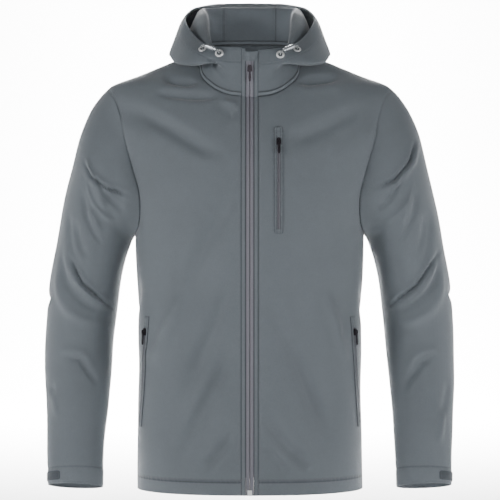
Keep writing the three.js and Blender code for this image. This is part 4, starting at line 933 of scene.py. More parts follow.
HOOD_SECTIONS = {
    0: ((85, -66), (87.5, -58), (89, -50), (90, -43), (90.5, -37), (91, -32), (91, -27), (88.5, -4)),
    20: ((87, -65), (89, -56), (90.5, -48), (92, -41), (93, -36), (93.5, -30), (93, -25), (90, -3)),
    36: ((91, -50), (91, -36), (94, -28), (99, -27), (104, -30), (107, -27), (105, -18), (96, -1)),
    50: ((88, -22), (83, 1), (88, 6), (98, -8), (110, -31), (121, -29), (115, -10), (98, 6)),
    70: ((85, 0), (73, 26), (81, 31), (95, 14), (112, -20), (131, -25), (119, 6), (102, 26)),
    90: ((83, 18), (70, 44), (79, 50), (95, 36), (114, 3), (137, -7), (122, 31), (111, 52)),
    112: ((82, 34), (78, 62), (88, 67), (103, 54), (120, 0), (139, -7), (128, 50), (114, 71)),
    136: ((92, 44), (103, 74), (112, 79), (122, 60), (137, -48), (160, -38), (143, 73), (122, 86)),
    160: ((86, 48), (93, 77), (103, 82), (113, 62), (128, -80), (164, -64), (150, 84), (128, 90)),
    180: ((84, 49), (89, 78), (99, 82), (109, 62), (124, -88), (166, -70), (153, 86), (130, 91)),
}


class HoodForm:
    """The hood pushed back: its cloth goes from place 0 at the neck seam to place 8 at the rim."""

    def __init__(self, body: BodyForm, folds: Folds) -> None:
        """Lay out the hood's tracks over the neck seam.

        Args:
            body: The body, whose neck seam the hood starts from.
            folds: The finer folds of the hood.
        """
        self.body, self.folds = body, folds
        angles = list(HOOD_SECTIONS)
        self.far = [Track(angles, [HOOD_SECTIONS[a][k][0] for a in angles]) for k in range(8)]
        self.high = [Track(angles, [HOOD_SECTIONS[a][k][1] for a in angles]) for k in range(8)]

    def profile(self, angle: np.ndarray, place: np.ndarray) -> tuple[np.ndarray, np.ndarray]:
        """Give the distance from the neck's axis and the height at angles and places."""
        size = np.abs(angle)
        far = through_numbers([self.body.neck_far(size), *(track(size) for track in self.far)], place)
        high = through_numbers([self.body.neck_z(size), *(track(size) for track in self.high)], place)
        dip = np.where(angle > 0, LEFT_RIM_DIP * smooth(place / 8) * (1 - smooth((size - 8) / 50)), 0.0)
        return far, high - dip

    def form(self, angle: np.ndarray, place: np.ndarray) -> np.ndarray:
        """Give the plain surface at angles in degrees and places."""
        far, high = self.profile(angle, place)
        turn = np.radians(angle)
        return np.stack([far * np.sin(turn), NECK_AXIS_Y - far * np.cos(turn), high], axis=-1)

    def cloth(self, angle: np.ndarray, place: np.ndarray, lift: float, fine: bool = True) -> np.ndarray:
        """Give the cloth's face.

        Args:
            angle: Degrees round the neck from the front, left positive.
            place: Places up the cloth.
            lift: Millimetres outward.
            fine: Whether the finer folds are added.

        Returns:
            Points in millimetres.
        """
        angle, place = np.broadcast_arrays(np.asarray(angle, float), np.asarray(place, float))
        point = self.form(angle, place)
        out = normals_of(self.form, angle, np.clip(place, 0.04, 7.96), 0.5, 0.04)
        rise = np.zeros(angle.shape)
        if fine:
            rise = self.folds.lift(point, out) * smooth((place - 0.6) / 0.8) * smooth((7.1 - place) / 0.5)
        return point + out * (rise + lift)[..., None]

    def angle_at(self, sideways: float, place: np.ndarray, front: bool) -> np.ndarray:
        """Give the angle at which the cloth is a given distance to the side of the middle."""
        angle = np.full(np.shape(place), 10.0 if front else 150.0)
        for _ in range(10):
            turn = np.degrees(np.arcsin(np.minimum(sideways / self.profile(angle, place)[0], 1.0)))
            angle = turn if front else 180.0 - turn
        return angle

    def side(self, sign: int, shares: np.ndarray, places: np.ndarray, lift: float) -> Grid:
        """Give a grid of one side panel, from the zip to the middle panel.

        Args:
            sign: 1 for the wearer's left.
            shares: Shares from the zip's edge, 0, to the middle panel's, 1.
            places: Places up the cloth.
            lift: Millimetres outward.

        Returns:
            Rows that run from the wearer's right to their left.
        """
        p = np.asarray(places, float)[:, None]
        start, end = self.angle_at(PLACKET_OUTER, p, True), self.angle_at(HOOD_CENTRE_HALF, p, False)
        middle = self.body.neck_point
        share = np.asarray(shares)[None, :]
        angle = np.where(
            share < 0.6, mix(start, middle, share / 0.6), mix(middle, end, (share - 0.6) / 0.4),
        )
        grid = self.cloth(sign * angle, p + 0 * angle, lift)
        return grid if sign < 0 else grid[:, ::-1]

    def centre(self, count: int, places: np.ndarray, lift: float) -> Grid:
        """Give a grid of the middle panel, from the wearer's right to their left."""
        p = np.asarray(places, float)
        columns = []
        for sideways in np.linspace(-HOOD_CENTRE_HALF, HOOD_CENTRE_HALF, count):
            angle = self.angle_at(abs(sideways), p, False)
            columns.append(self.cloth(angle if sideways > 0 else -angle, p, lift))
        return np.stack(columns, axis=1)

    def whole(self, places: np.ndarray, lift: float, steps: int) -> Grid:
        """Give rows all round the neck, from the zip on the right to the zip on the left."""
        shares = np.linspace(0.0, 1.0, steps + 1)
        centre = self.centre(13, places, lift)[:, 1:-1]
        return np.concatenate(
            [self.side(-1, shares, places, lift), centre, self.side(1, shares, places, lift)], axis=1,
        )


class Edge(Enum):
    """An edge of a cut piece."""

    LEFT = ("sides", "x")
    RIGHT = ("sides", "y")
    LOW = ("ends", "x")
    HIGH = ("ends", "y")


@dataclass(frozen=True)
class Stitching:
    """A row of stitches beside one edge of a piece; a solid one is instead an unbroken dark line of painted
    shade.
    """

    edge: Edge
    away: float
    thread: float = 0.55
    shade: float = 0.72
    ridge: float = 0.35
    solid: bool = False


class Value:
    """A number that varies over a surface: a shader socket with arithmetic."""

    def __init__(self, tree: bpy.types.NodeTree, socket: bpy.types.NodeSocket) -> None:
        """Wrap a socket of a node tree."""
        self.tree, self.socket = tree, socket

    def math(self, operation: str, *others: "Value | float") -> "Value":
        """Feed this value and others into one Math node."""
        node = self.tree.nodes.new("ShaderNodeMath")
        node.operation = operation
        for slot, value in zip(node.inputs, (self, *others)):
            if isinstance(value, Value):
                self.tree.links.new(value.socket, slot)
            else:
                slot.default_value = value
        return Value(self.tree, node.outputs[0])

    def __add__(self, other: "Value | float") -> "Value":
        """Add."""
        return self.math("ADD", other)

    def __sub__(self, other: "Value | float") -> "Value":
        """Subtract."""
        return self.math("SUBTRACT", other)

    def __mul__(self, other: "Value | float") -> "Value":
        """Multiply."""
        return self.math("MULTIPLY", other)

    def __truediv__(self, other: "Value | float") -> "Value":
        """Divide."""
        return self.math("DIVIDE", other)

    __radd__, __rmul__ = __add__, __mul__

    def __neg__(self) -> "Value":
        """Change the sign."""
        return self.math("MULTIPLY", -1.0)

    def __abs__(self) -> "Value":
        """Drop the sign."""
        return self.math("ABSOLUTE")

    def wave(self) -> "Value":
        """Give the sine of this value."""
        return self.math("SINE")

    def clamped(self) -> "Value":
        """Keep this value between 0 and 1."""
        return self.math("MAXIMUM", 0.0).math("MINIMUM", 1.0)

    def band(self, centre: float, half: float) -> "Value":
        """Give 1 at a centre, falling to 0 at half a width to both sides."""
        return (-(abs(self - centre) / half) + 1.0).clamped()

    def below(self, limit: float, soft: float) -> "Value":
        """Give 1 below a limit and 0 above it, over a soft step."""
        return ((-self + limit) / soft + 0.5).clamped()


class Recipe:
    """A material's node tree, with the few nodes that the finishes are made of."""

    def __init__(self, name: str) -> None:
        """Start a material with its shader."""
        self.material = bpy.data.materials.new(name)
        self.material.use_nodes = True
        self.tree = self.material.node_tree
        self.shader = self.tree.nodes["Principled BSDF"]

    def node(
        self, kind: str, settings: dict[str, object] | None = None, **inputs: object,
    ) -> bpy.types.Node:
        """Add a node.

        Args:
            kind: Blender's name of the node.
            settings: Properties to set on it.
            inputs: Values or sockets for its inputs, spaces in their names as underscores.

        Returns:
            The node.
        """
        node = self.tree.nodes.new(kind)
        for key, value in (settings or {}).items():
            setattr(node, key, value)
        for key, value in inputs.items():
            self.feed(node.inputs[key.replace("_", " ")], value)
        return node

    def feed(self, socket: bpy.types.NodeSocket, value: object) -> None:
        """Set or link one input."""
        if isinstance(value, Value):
            self.tree.links.new(value.socket, socket)
        elif isinstance(value, bpy.types.NodeSocket):
            self.tree.links.new(value, socket)
        else:
            socket.default_value = value

    def value(self, node: bpy.types.Node, output: int | str = 0) -> Value:
        """Wrap one output of a node."""
        return Value(self.tree, node.outputs[output])

    def place(self) -> bpy.types.NodeSocket:
        """Give the object's own coordinates."""
        return self.node("ShaderNodeTexCoord").outputs["Object"]

    def uv(self, layer: str) -> dict[str, Value]:
        """Give the two numbers of a UV map, in metres, with its vector."""
        source = self.node("ShaderNodeUVMap", {"uv_map": layer})
        parts = self.node("ShaderNodeSeparateXYZ", Vector=source.outputs[0])
        return {"x": self.value(parts, 0), "y": self.value(parts, 1), "vector": self.value(source)}

    def noise(
        self, vector: object, scale: float, detail: float = 2.0, stretch: Sequence[float] | None = None,
    ) -> Value:
        """Give a soft noise between about 0.3 and 0.7."""
        if stretch:
            vector = self.stretched(vector, stretch)
        return self.value(self.node("ShaderNodeTexNoise", Vector=vector, Scale=scale, Detail=detail))

    def stretched(self, vector: object, factors: Sequence[float]) -> bpy.types.NodeSocket:
        """Scale a vector along its axes."""
        node = self.node("ShaderNodeVectorMath", {"operation": "MULTIPLY"})
        self.feed(node.inputs[0], vector)
        node.inputs[1].default_value = tuple(factors)
        return node.outputs[0]

    def blend(self, share: Value, a: object, b: object) -> bpy.types.NodeSocket:
        """Mix two colours."""
        node = self.node("ShaderNodeMix", {"data_type": "RGBA"})
        self.feed(node.inputs[0], share)
        self.feed(node.inputs[6], a)
        self.feed(node.inputs[7], b)
        return node.outputs[2]

    def bump(self, height: Value, distance: float, strength: float = 1.0) -> None:
        """Turn a height in metres or a share of distance into the shader's normal."""
        node = self.node("ShaderNodeBump", Height=height, Distance=distance, Strength=strength)
        self.tree.links.new(node.outputs[0], self.shader.inputs["Normal"])


def colour(red: float, green: float, blue: float) -> tuple[float, float, float, float]:
    """Turn 8-bit display colours into a linear colour."""
    linear = lambda c: c / 12.92 if c <= 0.04045 else ((c + 0.055) / 1.055) ** 2.4
    return (*(linear(v / 255.0) for v in (red, green, blue)), 1.0)


def dimmed(shade: tuple[float, ...], factor: float) -> tuple[float, float, float, float]:
    """Scale a colour's brightness."""
    return (*(v * factor for v in shade[:3]), 1.0)


@dataclass(frozen=True)
class Softshell:
    """Smooth bonded softshell cloth, with a fine woven face and topstitching."""

    name: str
    shade: tuple[float, float, float, float]
    stitches: tuple[Stitching, ...] = ()
    seams: tuple[Edge, ...] = ()
    # seam_shade and seam_shade_width paint shade along the seams: the grey darkens towards each sewn edge
    seam_shade: float = 0.55
    seam_shade_width: float = 0.8
    pucker: float = 1.0
    roughness: float = 0.72

    def make(self) -> bpy.types.Material:
        """Build the material."""
        r = Recipe(self.name)
        cloth, maps = r.uv("cloth"), {}
        place = r.place()
        big, mid = r.noise(place, 9.0, 2.0), r.noise(place, 70.0, 3.0)
        fleck = r.noise(place, 900.0, 2.0)
        ribs = (cloth["x"] * 5200.0 + cloth["y"] * 3900.0).wave() * (cloth["y"] * 6100.0).wave()
        tone = (big - 0.5) * 0.5 + (mid - 0.5) * 0.35 + (fleck - 0.5) * 1.1 + 0.5
        base = r.blend(tone.clamped(), dimmed(self.shade, 0.84), dimmed(self.shade, 1.16))
        height = ribs * 0.12 + fleck * 0.25
        for stitch in self.stitches:
            layer, axis = stitch.edge.value
            distance = maps.setdefault(layer, r.uv(layer))[axis] * 1000.0
            run = (cloth["y"] if layer == "sides" else cloth["x"]) * 1000.0
            line = distance.band(stitch.away, stitch.thread)
            if not stitch.solid:
                line = line * ((run * (2 * math.pi / 2.9)).wave() * 1.6 + 0.9).clamped()
            groove = distance.band(stitch.away, 1.9)
            # Stitches darken as thread; the solid lines are painted shade at folds and slot edges.
            base = r.blend(line * 0.85, base, dimmed(self.shade, stitch.shade))
            wrinkle = (run * (2 * math.pi / 9.0) + mid * 9.0).wave() * distance.band(stitch.away, 6.5)
            height = (
                height + line * 0.5 - groove * 0.9
                + distance.below(stitch.away, 1.2) * stitch.ridge
                + wrinkle * (0.28 * self.pucker)
            )
        # Painted shade along each seam, darkest at the sewn edge.
        for edge in self.seams:
            layer, axis = edge.value
            distance = maps.setdefault(layer, r.uv(layer))[axis] * 1000.0
            base = r.blend(
                distance.below(self.seam_shade_width, 1.3) * self.seam_shade, base, dimmed(self.shade, 0.42),
            )
        r.feed(r.shader.inputs["Base Color"], base)
        r.feed(r.shader.inputs["Roughness"], (mid - 0.5) * 0.2 + self.roughness)
        r.shader.inputs["Sheen Weight"].default_value = 0.25
        r.shader.inputs["Sheen Roughness"].default_value = 0.45
        r.shader.inputs["Specular IOR Level"].default_value = 0.3
        r.bump(height, 0.0009, 0.55)
        return r.material


@dataclass(frozen=True)
class ZipTape:
    """Coated tape with the ridge of a reversed coil along its inner edge."""

    name: str
    shade: tuple[float, float, float, float]
    centre: Edge | None
    slit: float = 1.4

    def make(self) -> bpy.types.Material:
        """Build the material."""
        r = Recipe(self.name)
        cloth, sides = r.uv("cloth"), r.uv("sides")
        place = r.place()
        run = cloth["y"] * 1000.0
        if self.centre is None:
            middle = abs((sides["x"] - sides["y"]) * 500.0)
        else:
            middle = sides[self.centre.value[1]] * 1000.0
        tooth = (run * (2 * math.pi / 1.25)).wave() * 0.5 + 0.5
        coil = middle.band(1.35, 1.15)
        slit = middle.band(0.0, self.slit)
        rib = (middle * (2 * math.pi / 0.75)).wave() * 0.5 + 0.5
        grain = r.noise(place, 800.0, 2.0)
        tone = r.blend((grain - 0.2).clamped(), dimmed(self.shade, 0.8), dimmed(self.shade, 1.15))
        # The coil's teeth lighter: painted highlight on the ridge.
        tone = r.blend(coil * tooth * 0.3, tone, dimmed(self.shade, 1.3))
        # The slit between the coils near black: painted shade.
        tone = r.blend(slit * 0.97, tone, dimmed(self.shade, 0.14))
        # Dark where the tape goes under the placket's edge: painted shade.
        tone = r.blend(middle.band(6.1, 1.0) * 0.85, tone, dimmed(self.shade, 0.3))
        r.feed(r.shader.inputs["Base Color"], tone)
        r.feed(r.shader.inputs["Roughness"], grain * 0.2 + 0.42)
        r.shader.inputs["Specular IOR Level"].default_value = 0.45
        height = coil * (tooth * 0.5 + 0.7) - slit * 1.4 + rib * 0.12 * middle.band(4.8, 2.0) + grain * 0.15
        r.bump(height, 0.0007, 0.7)
        return r.material


@dataclass(frozen=True)
class GripTab:
    """The cuff's closing tab: matt cloth with a bound edge and a box of stitches."""

    name: str
    shade: tuple[float, float, float, float]

    def make(self) -> bpy.types.Material:
        """Build the material."""
        r = Recipe(self.name)
        sides, ends, place = r.uv("sides"), r.uv("ends"), r.place()
        edge = sides["x"].math(
            "MINIMUM", sides["y"],
        ).math("MINIMUM", ends["x"]).math("MINIMUM", ends["y"]) * 1000.0
        run = (r.uv("cloth")["x"] + r.uv("cloth")["y"]) * 1000.0
        dash = ((run * (2 * math.pi / 2.6)).wave() * 1.6 + 0.9).clamped()
        line = edge.band(2.6, 0.5) * dash
        fuzz = r.noise(place, 1400.0, 3.0)
        tone = r.blend((fuzz * 1.2 - 0.1).clamped(), dimmed(self.shade, 0.75), dimmed(self.shade, 1.2))
        tone = r.blend(line, tone, dimmed(self.shade, 1.35))
        tone = r.blend(edge.below(0.8, 0.6) * 0.5, tone, dimmed(self.shade, 1.3))
        r.feed(r.shader.inputs["Base Color"], tone)
        r.feed(r.shader.inputs["Roughness"], fuzz * 0.2 + 0.72)
        r.shader.inputs["Sheen Weight"].default_value = 0.2
        r.bump(fuzz * 0.5 - edge.band(2.6, 1.4) * 0.9 + line * 0.4, 0.0008, 0.7)
        return r.material


@dataclass(frozen=True)
class Braid:
    """Round braided cord, with crossing strands."""

    name: str
    shade: tuple[float, float, float, float]

    def make(self) -> bpy.types.Material:
        """Build the material."""
        r = Recipe(self.name)
        place = r.place()
        parts = r.node("ShaderNodeSeparateXYZ", Vector=place)
        x, y, z = (r.value(parts, k) * 1000.0 for k in range(3))
        one = ((x + y * 0.6 + z * 0.9) * 4.6).wave()
        two = ((x * 0.8 - y * 0.5 - z * 1.1) * 4.6).wave()
        strands = one.math("MAXIMUM", two) * 0.5 + 0.5
        # Lighter on the strands and darker between them: painted highlight and shade on the braid's relief.
        tone = r.blend(strands.clamped(), dimmed(self.shade, 0.55), dimmed(self.shade, 1.2))
        r.feed(r.shader.inputs["Base Color"], tone)
        r.feed(r.shader.inputs["Roughness"], strands * -0.15 + 0.75)
        r.bump(strands, 0.0005, 0.8)
        return r.material


@dataclass(frozen=True)
class Metal:
    """Plated or painted metal with fine scuffs and slightly brighter wear."""

    name: str
    shade: tuple[float, float, float, float]
    metallic: float
    roughness: float
    wear: float = 0.3

    def make(self) -> bpy.types.Material:
        """Build the material."""
        r = Recipe(self.name)
        place = r.place()
        cloud, scuff = r.noise(place, 160.0, 3.0), r.noise(r.stretched(place, (1.0, 1.0, 6.0)), 700.0, 2.0)
        share = ((cloud - 0.45) * 2.0 * self.wear + (scuff - 0.5) * 0.6 + 0.4).clamped()
        r.feed(
            r.shader.inputs["Base Color"], r.blend(share, dimmed(self.shade, 0.8), dimmed(self.shade, 1.3)),
        )
        r.feed(r.shader.inputs["Roughness"], scuff * 0.22 + (self.roughness - 0.1))
        r.shader.inputs["Metallic"].default_value = self.metallic
        r.bump(scuff + cloud * 0.5, 0.00015, 0.5)
        return r.material


@dataclass
class Wardrobe:
    """What every sub-assembly shares: the frame, the finishes and the way pieces are dressed."""

    frame: dict
    materials: dict[str, bpy.types.Material] = field(default_factory=dict)

    def finish(self, finish: Softshell | ZipTape | GripTab | Braid | Metal) -> bpy.types.Material:
        """Make a finish once and keep it."""
        if finish.name not in self.materials:
            self.materials[finish.name] = finish.make()
        return self.materials[finish.name]

    def dress(
        self, thing: bpy.types.Object, finish: object, slot: str, body: str, *nodes: str,
    ) -> bpy.types.Object:
        """Give a piece its material and its body, and hide the solids it stands for.

        Args:
            thing: The piece.
            finish: Its finish.
            slot: The record's material slot; not used.
            body: The body that it rides on.
            nodes: CAD nodes that it replaces.

        Returns:
            The piece.
        """
        thing.data.materials.clear()
        thing.data.materials.append(self.finish(finish))
        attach(thing, body)
        if nodes:
            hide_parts(*nodes)
        log.info("%s: %d faces", thing.name, len(thing.data.polygons))
        return thing

    def sewn(
        self,
        name: str,
        cloth: Cloth,
        finish: object,
        slot: str,
        held: str,
        rests_on: Sequence[str],
        *nodes: str,
    ) -> bpy.types.Object:
        """Make and dress a sheet of cloth, and state its cut.

        Args:
            name: Name of the piece.
            cloth: Its wall.
            finish: Its finish.
            slot: The record's material slot; not used.
            held: How it is held; not used.
            rests_on: What it hangs from or lies on; not used.
            nodes: CAD nodes that it replaces.

        Returns:
            The piece.
        """
        thing = self.dress(cloth.mesh(name), finish, slot, BODY, *nodes)
        width, length, area = cloth.flat()
        log.info("%s is cut from %.3f x %.3f m, %.4f m2", name, width, length, area)
        return thing


BODY = "jacket"
# A solid dark line at the hem's turned edge and a soft band just above it: painted shade.
HEM_FOLD_SHADE = Stitching(Edge.LOW, 21.5, thread=1.9, shade=0.2, solid=True)
HEM_SHADOW = Stitching(Edge.LOW, 23.5, thread=4.2, shade=0.66, ridge=0.0, solid=True)
CLOTH_GREY = colour(103, 110, 116)
# The hood's grey is the body's cloth a little darker: painted shade on the same cloth.
HOOD_SHADED_GREY = colour(97, 104, 110)
TAPE_GREY = colour(122, 122, 132)
TAB_GREY = colour(66, 72, 78)
CORD_GREY = colour(150, 155, 158)
GUNMETAL = Metal("gunmetal", colour(56, 52, 58), 0.7, 0.34, wear=0.8)
SILVER = Metal("silver", colour(226, 228, 229), 0.45, 0.3)
LOCK_SILVER = Metal("silvered_plastic", colour(160, 165, 169), 0.6, 0.22, wear=1.2)


@dataclass
class BodyPanels:
    """The two fronts and the back."""

    wardrobe: Wardrobe
    form: BodyForm
    rows: int = 168
    columns: int = 60
    calm_spots: tuple[tuple[float, float], ...] = ()

    def calm(self, angle: np.ndarray, z: np.ndarray, gaps: Sequence[np.ndarray]) -> np.ndarray:
        """Say how much of the finer folds stays, near seams and near hard parts."""
        keep = np.ones(angle.shape)
        for gap in gaps:
            keep = keep * smooth(gap / 22.0)
        point = self.form.form(angle, z)
        for x, spot_z in self.calm_spots:
            keep = keep * smooth((np.hypot(point[..., 0] - x, point[..., 2] - spot_z) - 8.0) / 26.0)
        return keep

    def front_patch(self) -> Patch:
        """Give the patch of a front, from its zip's edge to its side seam."""
        form = self.form
        heights = np.linspace(HEM_Z, NECK_FRONT_Z, 301)
        edge = Route(form.angle_at(np.full(301, PLACKET_OUTER), heights), heights)
        neck = form.neck_stops(np.linspace(form.neck_start, form.neck_point, 121))
        start = joined_routes(edge, neck)
        side_z = np.linspace(HEM_Z, ARMPIT_Z, 181)
        side = joined_routes(
            Route(np.full(181, np.pi / 2), side_z),
            Route(form.armhole[Side.FRONT].angle[::-1], form.armhole[Side.FRONT].z[::-1]),
        )
        side = self.balanced(side, 180, 96, 9 / 21)
        start = self.balanced(start, 300, 120, 15 / 21)
        low = Route(np.linspace(start.angle[0], np.pi / 2, 61), np.full(61, HEM_Z))
        top = self.shoulder()
        return Patch(low, top, start, side, Side.FRONT)

    @staticmethod
    def balanced(route: Route, first: int, second: int, share: float) -> Route:
        """Respace a route of two stretches so that the first takes a given share of it."""
        places = np.concatenate([np.linspace(0, share, first + 1), np.linspace(share, 1, second + 1)[1:]])
        even = np.linspace(0, 1, 421)
        return Route(np.interp(even, places, route.angle), np.interp(even, places, route.z))

    @staticmethod
    def shoulder() -> Route:
        """Give the shoulder seam from the neck to the shoulder's tip."""
        return Route(
            np.linspace(NECK_POINT_ANGLE, SHOULDER_TIP_ANGLE, 61),
            np.linspace(NECK_POINT_Z, SHOULDER_TIP_Z, 61),
        )

    def back_patch(self) -> Patch:
        """Give the patch of one half of the back, from its side seam to the middle."""
        form = self.form
        centre = form.centre_rounds(41)
        neck = form.neck_stops(np.concatenate([np.linspace(form.neck_point, centre[0], 61), centre[1:]]))
        half = self.shoulder().back()
        places = np.concatenate(
            [np.linspace(0, 0.5, 61), np.linspace(0.5, 11 / 14, 61)[1:], np.linspace(11 / 14, 1, 41)[1:]]
        )
        joint = joined_routes(half, neck)
        even = np.linspace(0, 1, 421)
        top = Route(np.interp(even, places, joint.angle), np.interp(even, places, joint.z))
        side_z = np.linspace(HEM_Z, ARMPIT_Z, 181)
        armhole = form.armhole[Side.BACK].back()
        side = self.balanced(
            joined_routes(Route(np.full(181, np.pi / 2), side_z), armhole), 180, 96, 9 / 21,
        )
        low = Route(np.linspace(np.pi / 2, np.pi, 61), np.full(61, HEM_Z))
        middle = Route(np.full(61, np.pi), np.linspace(HEM_Z, NAPE_Z, 61))
        return Patch(low, top, side, middle, Side.BACK)

    def seam_gaps(self, angle: np.ndarray, z: np.ndarray) -> dict[str, np.ndarray]:
        """Measure how far each place of a patch is from its edges."""
        point = self.form.form(angle, z)
        return Cloth(point, point).measures()

    def build(self) -> None:
        """Make the three panels."""
        up = edged(self.rows, (0.0018, 0.004))
        across = edged(self.columns, (0.006, 0.014))
        patch = self.front_patch()
        angle, z = patch.places(self.form, across, up)
        gaps = self.seam_gaps(angle, z)
        for side, sign in (("left", 1), ("right", -1)):
            calm = self.calm(
                sign * angle, z, (gaps["high"], gaps["right"] + smooth((ARMPIT_Z - z) / 60.0) * 60.0),
            )
            grids = [self.form.cloth(sign * angle, z, lift, calm=calm) for lift in (0.0, -SHELL)]
            cloth = Cloth(*grids).pull_in("left", "right", "high").soften_edges(
                "right", "high", "left", depth=0.35,
            )
            stitches = (
                HEM_FOLD_SHADE,
                HEM_SHADOW,
                Stitching(Edge.RIGHT, 3.0, shade=0.8),
                Stitching(Edge.HIGH, 3.0, shade=0.8),
            )
            finish = Softshell(
                "softshell_front",
                CLOTH_GREY,
                stitches,
                (Edge.RIGHT, Edge.HIGH, Edge.LEFT),
                seam_shade=0.42,
            )
            self.wardrobe.sewn(
                f"front_{side}_cloth",
                cloth,
                finish,
                "softshell",
                "hung",
                (f"hood_side_{side}_cloth",),
                f"front_{side}",
            )
        self.build_back(up)

    def build_back(self, up: np.ndarray) -> None:
        """Make the back panel from its two halves."""
        patch = self.back_patch()
        across = edged(self.columns, (0.006, 0.014))
        angle, z = patch.places(self.form, across, up)
        gaps = self.seam_gaps(angle, z)
        calm = self.calm(angle, z, (gaps["high"], gaps["left"] + smooth((ARMPIT_Z - z) / 60.0) * 60.0))
        grids = []
        for lift in (0.0, -SHELL):
            right = self.form.cloth(-angle, z, lift, calm=calm)
            left = self.form.cloth(angle, z, lift, calm=calm)
            grids.append(np.concatenate([right, left[:, ::-1][:, 1:]], axis=1))
        cloth = Cloth(*grids).pull_in("left", "right", "high").soften_edges(
            "left", "right", "high", depth=0.35,
        )
        stitches = (HEM_FOLD_SHADE, HEM_SHADOW, Stitching(Edge.HIGH, 3.0, shade=0.8))
        finish = Softshell("softshell_back", CLOTH_GREY, stitches, (Edge.LEFT, Edge.RIGHT, Edge.HIGH))
        self.wardrobe.sewn("back_cloth", cloth, finish, "softshell", "hung", ("hood_centre_cloth",), "back")


@dataclass
class Sleeves:
    """Both sleeves with their turned-up cuffs and closing tabs."""

    wardrobe: Wardrobe
    body: BodyForm
    folds: dict[int, Folds]
    rings: int = 190
    columns: int = 144
    tab: tuple[float, float, float, float] = (-60.0, 60.0, 12.2, 12.78)

    def build(self) -> None:
        """Make the sleeves."""
        for side, sign in (("left", 1), ("right", -1)):
            form = SleeveForm(self.body, self.folds[sign], sign)
            around = np.linspace(0.0, 2 * np.pi, self.columns + 1)[:-1] + np.pi
            rings = np.unique(
                np.concatenate([np.linspace(0, CUFF_RING, self.rings + 1), [0.02, 0.05, CUFF_RING - 0.03]])
            )
            angle, ring = np.meshgrid(around, rings)
            cloth = Cloth(*(form.cloth(angle, ring, lift) for lift in (0.0, -SHELL)), closed=True)
            cloth.pull_in("low").pull_in("high")
            for grid in (cloth.outer, cloth.inner):
                grid[0, :, 0] += sign * 2 * PULL_IN
            cloth.soften_edges("low", "high", depth=0.35)
            stitches = (Stitching(Edge.LEFT, 2.5, shade=0.8),)
            finish = Softshell(
                "softshell_sleeve",
                CLOTH_GREY,
                stitches,
                (Edge.LOW, Edge.HIGH, Edge.LEFT, Edge.RIGHT),
                seam_shade=0.3,
            )
            self.wardrobe.sewn(
                f"sleeve_{side}_cloth",
                cloth,
                finish,
                "softshell",
                "hung",
                (f"front_{side}_cloth",),
                f"sleeve_{side}",
            )
            self.build_cuff(side, form, around)
            self.build_tab(side, form)

    def build_cuff(self, side: str, form: SleeveForm, around: np.ndarray) -> None:
        """Make one cuff, with its turned edge."""
        rings = np.array([0.0, 0.02, 0.06, 0.15, 0.3, 0.45, 0.6, 0.75, 0.88, 0.95, 1.0]) + CUFF_RING
        angle, ring = np.meshgrid(around, rings)
        crown = 0.5 * np.sin(np.clip((ring - CUFF_RING), 0, 1) * np.pi) ** 0.5
        cloth = Cloth(form.cloth(angle, ring, 0.4), form.cloth(angle, ring, -SHELL), closed=True)
        cloth.outer = cloth.outer + normals_grid(cloth) * (crown * 0.4)[..., None]
        cloth.pull_in("low").soften_edges("low", "high", depth=0.5)
        finish = Softshell(
            "softshell_cuff",
            CLOTH_GREY,
            (Stitching(Edge.LOW, 1.8), Stitching(Edge.HIGH, 3.0, shade=0.85)),
            (Edge.LOW,),
        )
        self.wardrobe.sewn(
            f"cuff_{side}_cloth",
            cloth,
            finish,
            "softshell",
            "hung",
            (f"sleeve_{side}_cloth",),
            f"cuff_{side}",
        )

    def build_tab(self, side: str, form: SleeveForm) -> None:
        """Make one closing tab, with rounded corners and a soft edge."""
        start, end, low, high = self.tab
        shares = edged(44, (0.006, 0.014))
        t, u = np.meshgrid(shares, edged(14, (0.03, 0.07)))
        corner = np.clip((np.abs(t - 0.5) - 0.44) / 0.06, 0.0, 1.0)
        squeeze = 1.0 - 0.34 * (1.0 - np.sqrt(1.0 - corner**2))
        ring = mix(low, high, 0.5 + (u - 0.5) * squeeze)
        angle = np.radians(mix(start, end, t))
        cloth = Cloth(form.cloth(angle, ring, 2.1), form.cloth(angle, ring, 0.95))
        cloth.soften_edges("left", "right", "low", "high", depth=0.5, reach=1.0)
        self.wardrobe.sewn(
            f"cuff_tab_{side}_cloth",
            cloth,
            GripTab("grip_tab", TAB_GREY),
            "grip_tab",
            "laid",
            (f"cuff_{side}_cloth",),
            f"cuff_tab_{side}",
        )


def normals_grid(cloth: Cloth) -> np.ndarray:
    """Give the unit way from the inner face to the outer face of a wall."""
    way = cloth.outer - cloth.inner
    return way / np.maximum(np.linalg.norm(way, axis=-1, keepdims=True), 1e-6)


def disc(name: str, radius: float, depth: float, place: Matrix, sides: int = 32) -> bpy.types.Object:
    """Add a cylinder along its frame's third axis, sizes in metres."""
    bpy.ops.object.select_all(action="DESELECT")
    bpy.ops.mesh.primitive_cylinder_add(vertices=sides, radius=radius, depth=depth)
    thing = bpy.context.object
    thing.name = name
    thing.matrix_world = place
    bpy.ops.object.transform_apply(location=True, rotation=True, scale=True)
    return thing


def cut_away(thing: bpy.types.Object, tool: bpy.types.Object) -> None:
    """Cut one object out of another and remove the tool."""
    only(thing)
    cut = thing.modifiers.new("cut", "BOOLEAN")
    cut.operation, cut.solver, cut.object = "DIFFERENCE", "EXACT", tool
    bpy.ops.object.modifier_apply(modifier=cut.name)
    bpy.data.objects.remove(tool, do_unlink=True)


def frame_on(point: np.ndarray, out: np.ndarray, up: Sequence[float]) -> Matrix:
    """Give a frame on the cloth, in metres: across and up lie in it and out stands off it.

    Args:
        point: The frame's origin in millimetres.
        out: The way off the cloth.
        up: Roughly the way up it.

    Returns:
        The frame.
    """
    z = Vector(out).normalized()
    x = Vector(up).cross(z).normalized()
    y = z.cross(x)
    matrix = Matrix((x, y, z)).transposed().to_4x4()
    matrix.translation = Vector(point) * MM
    return matrix


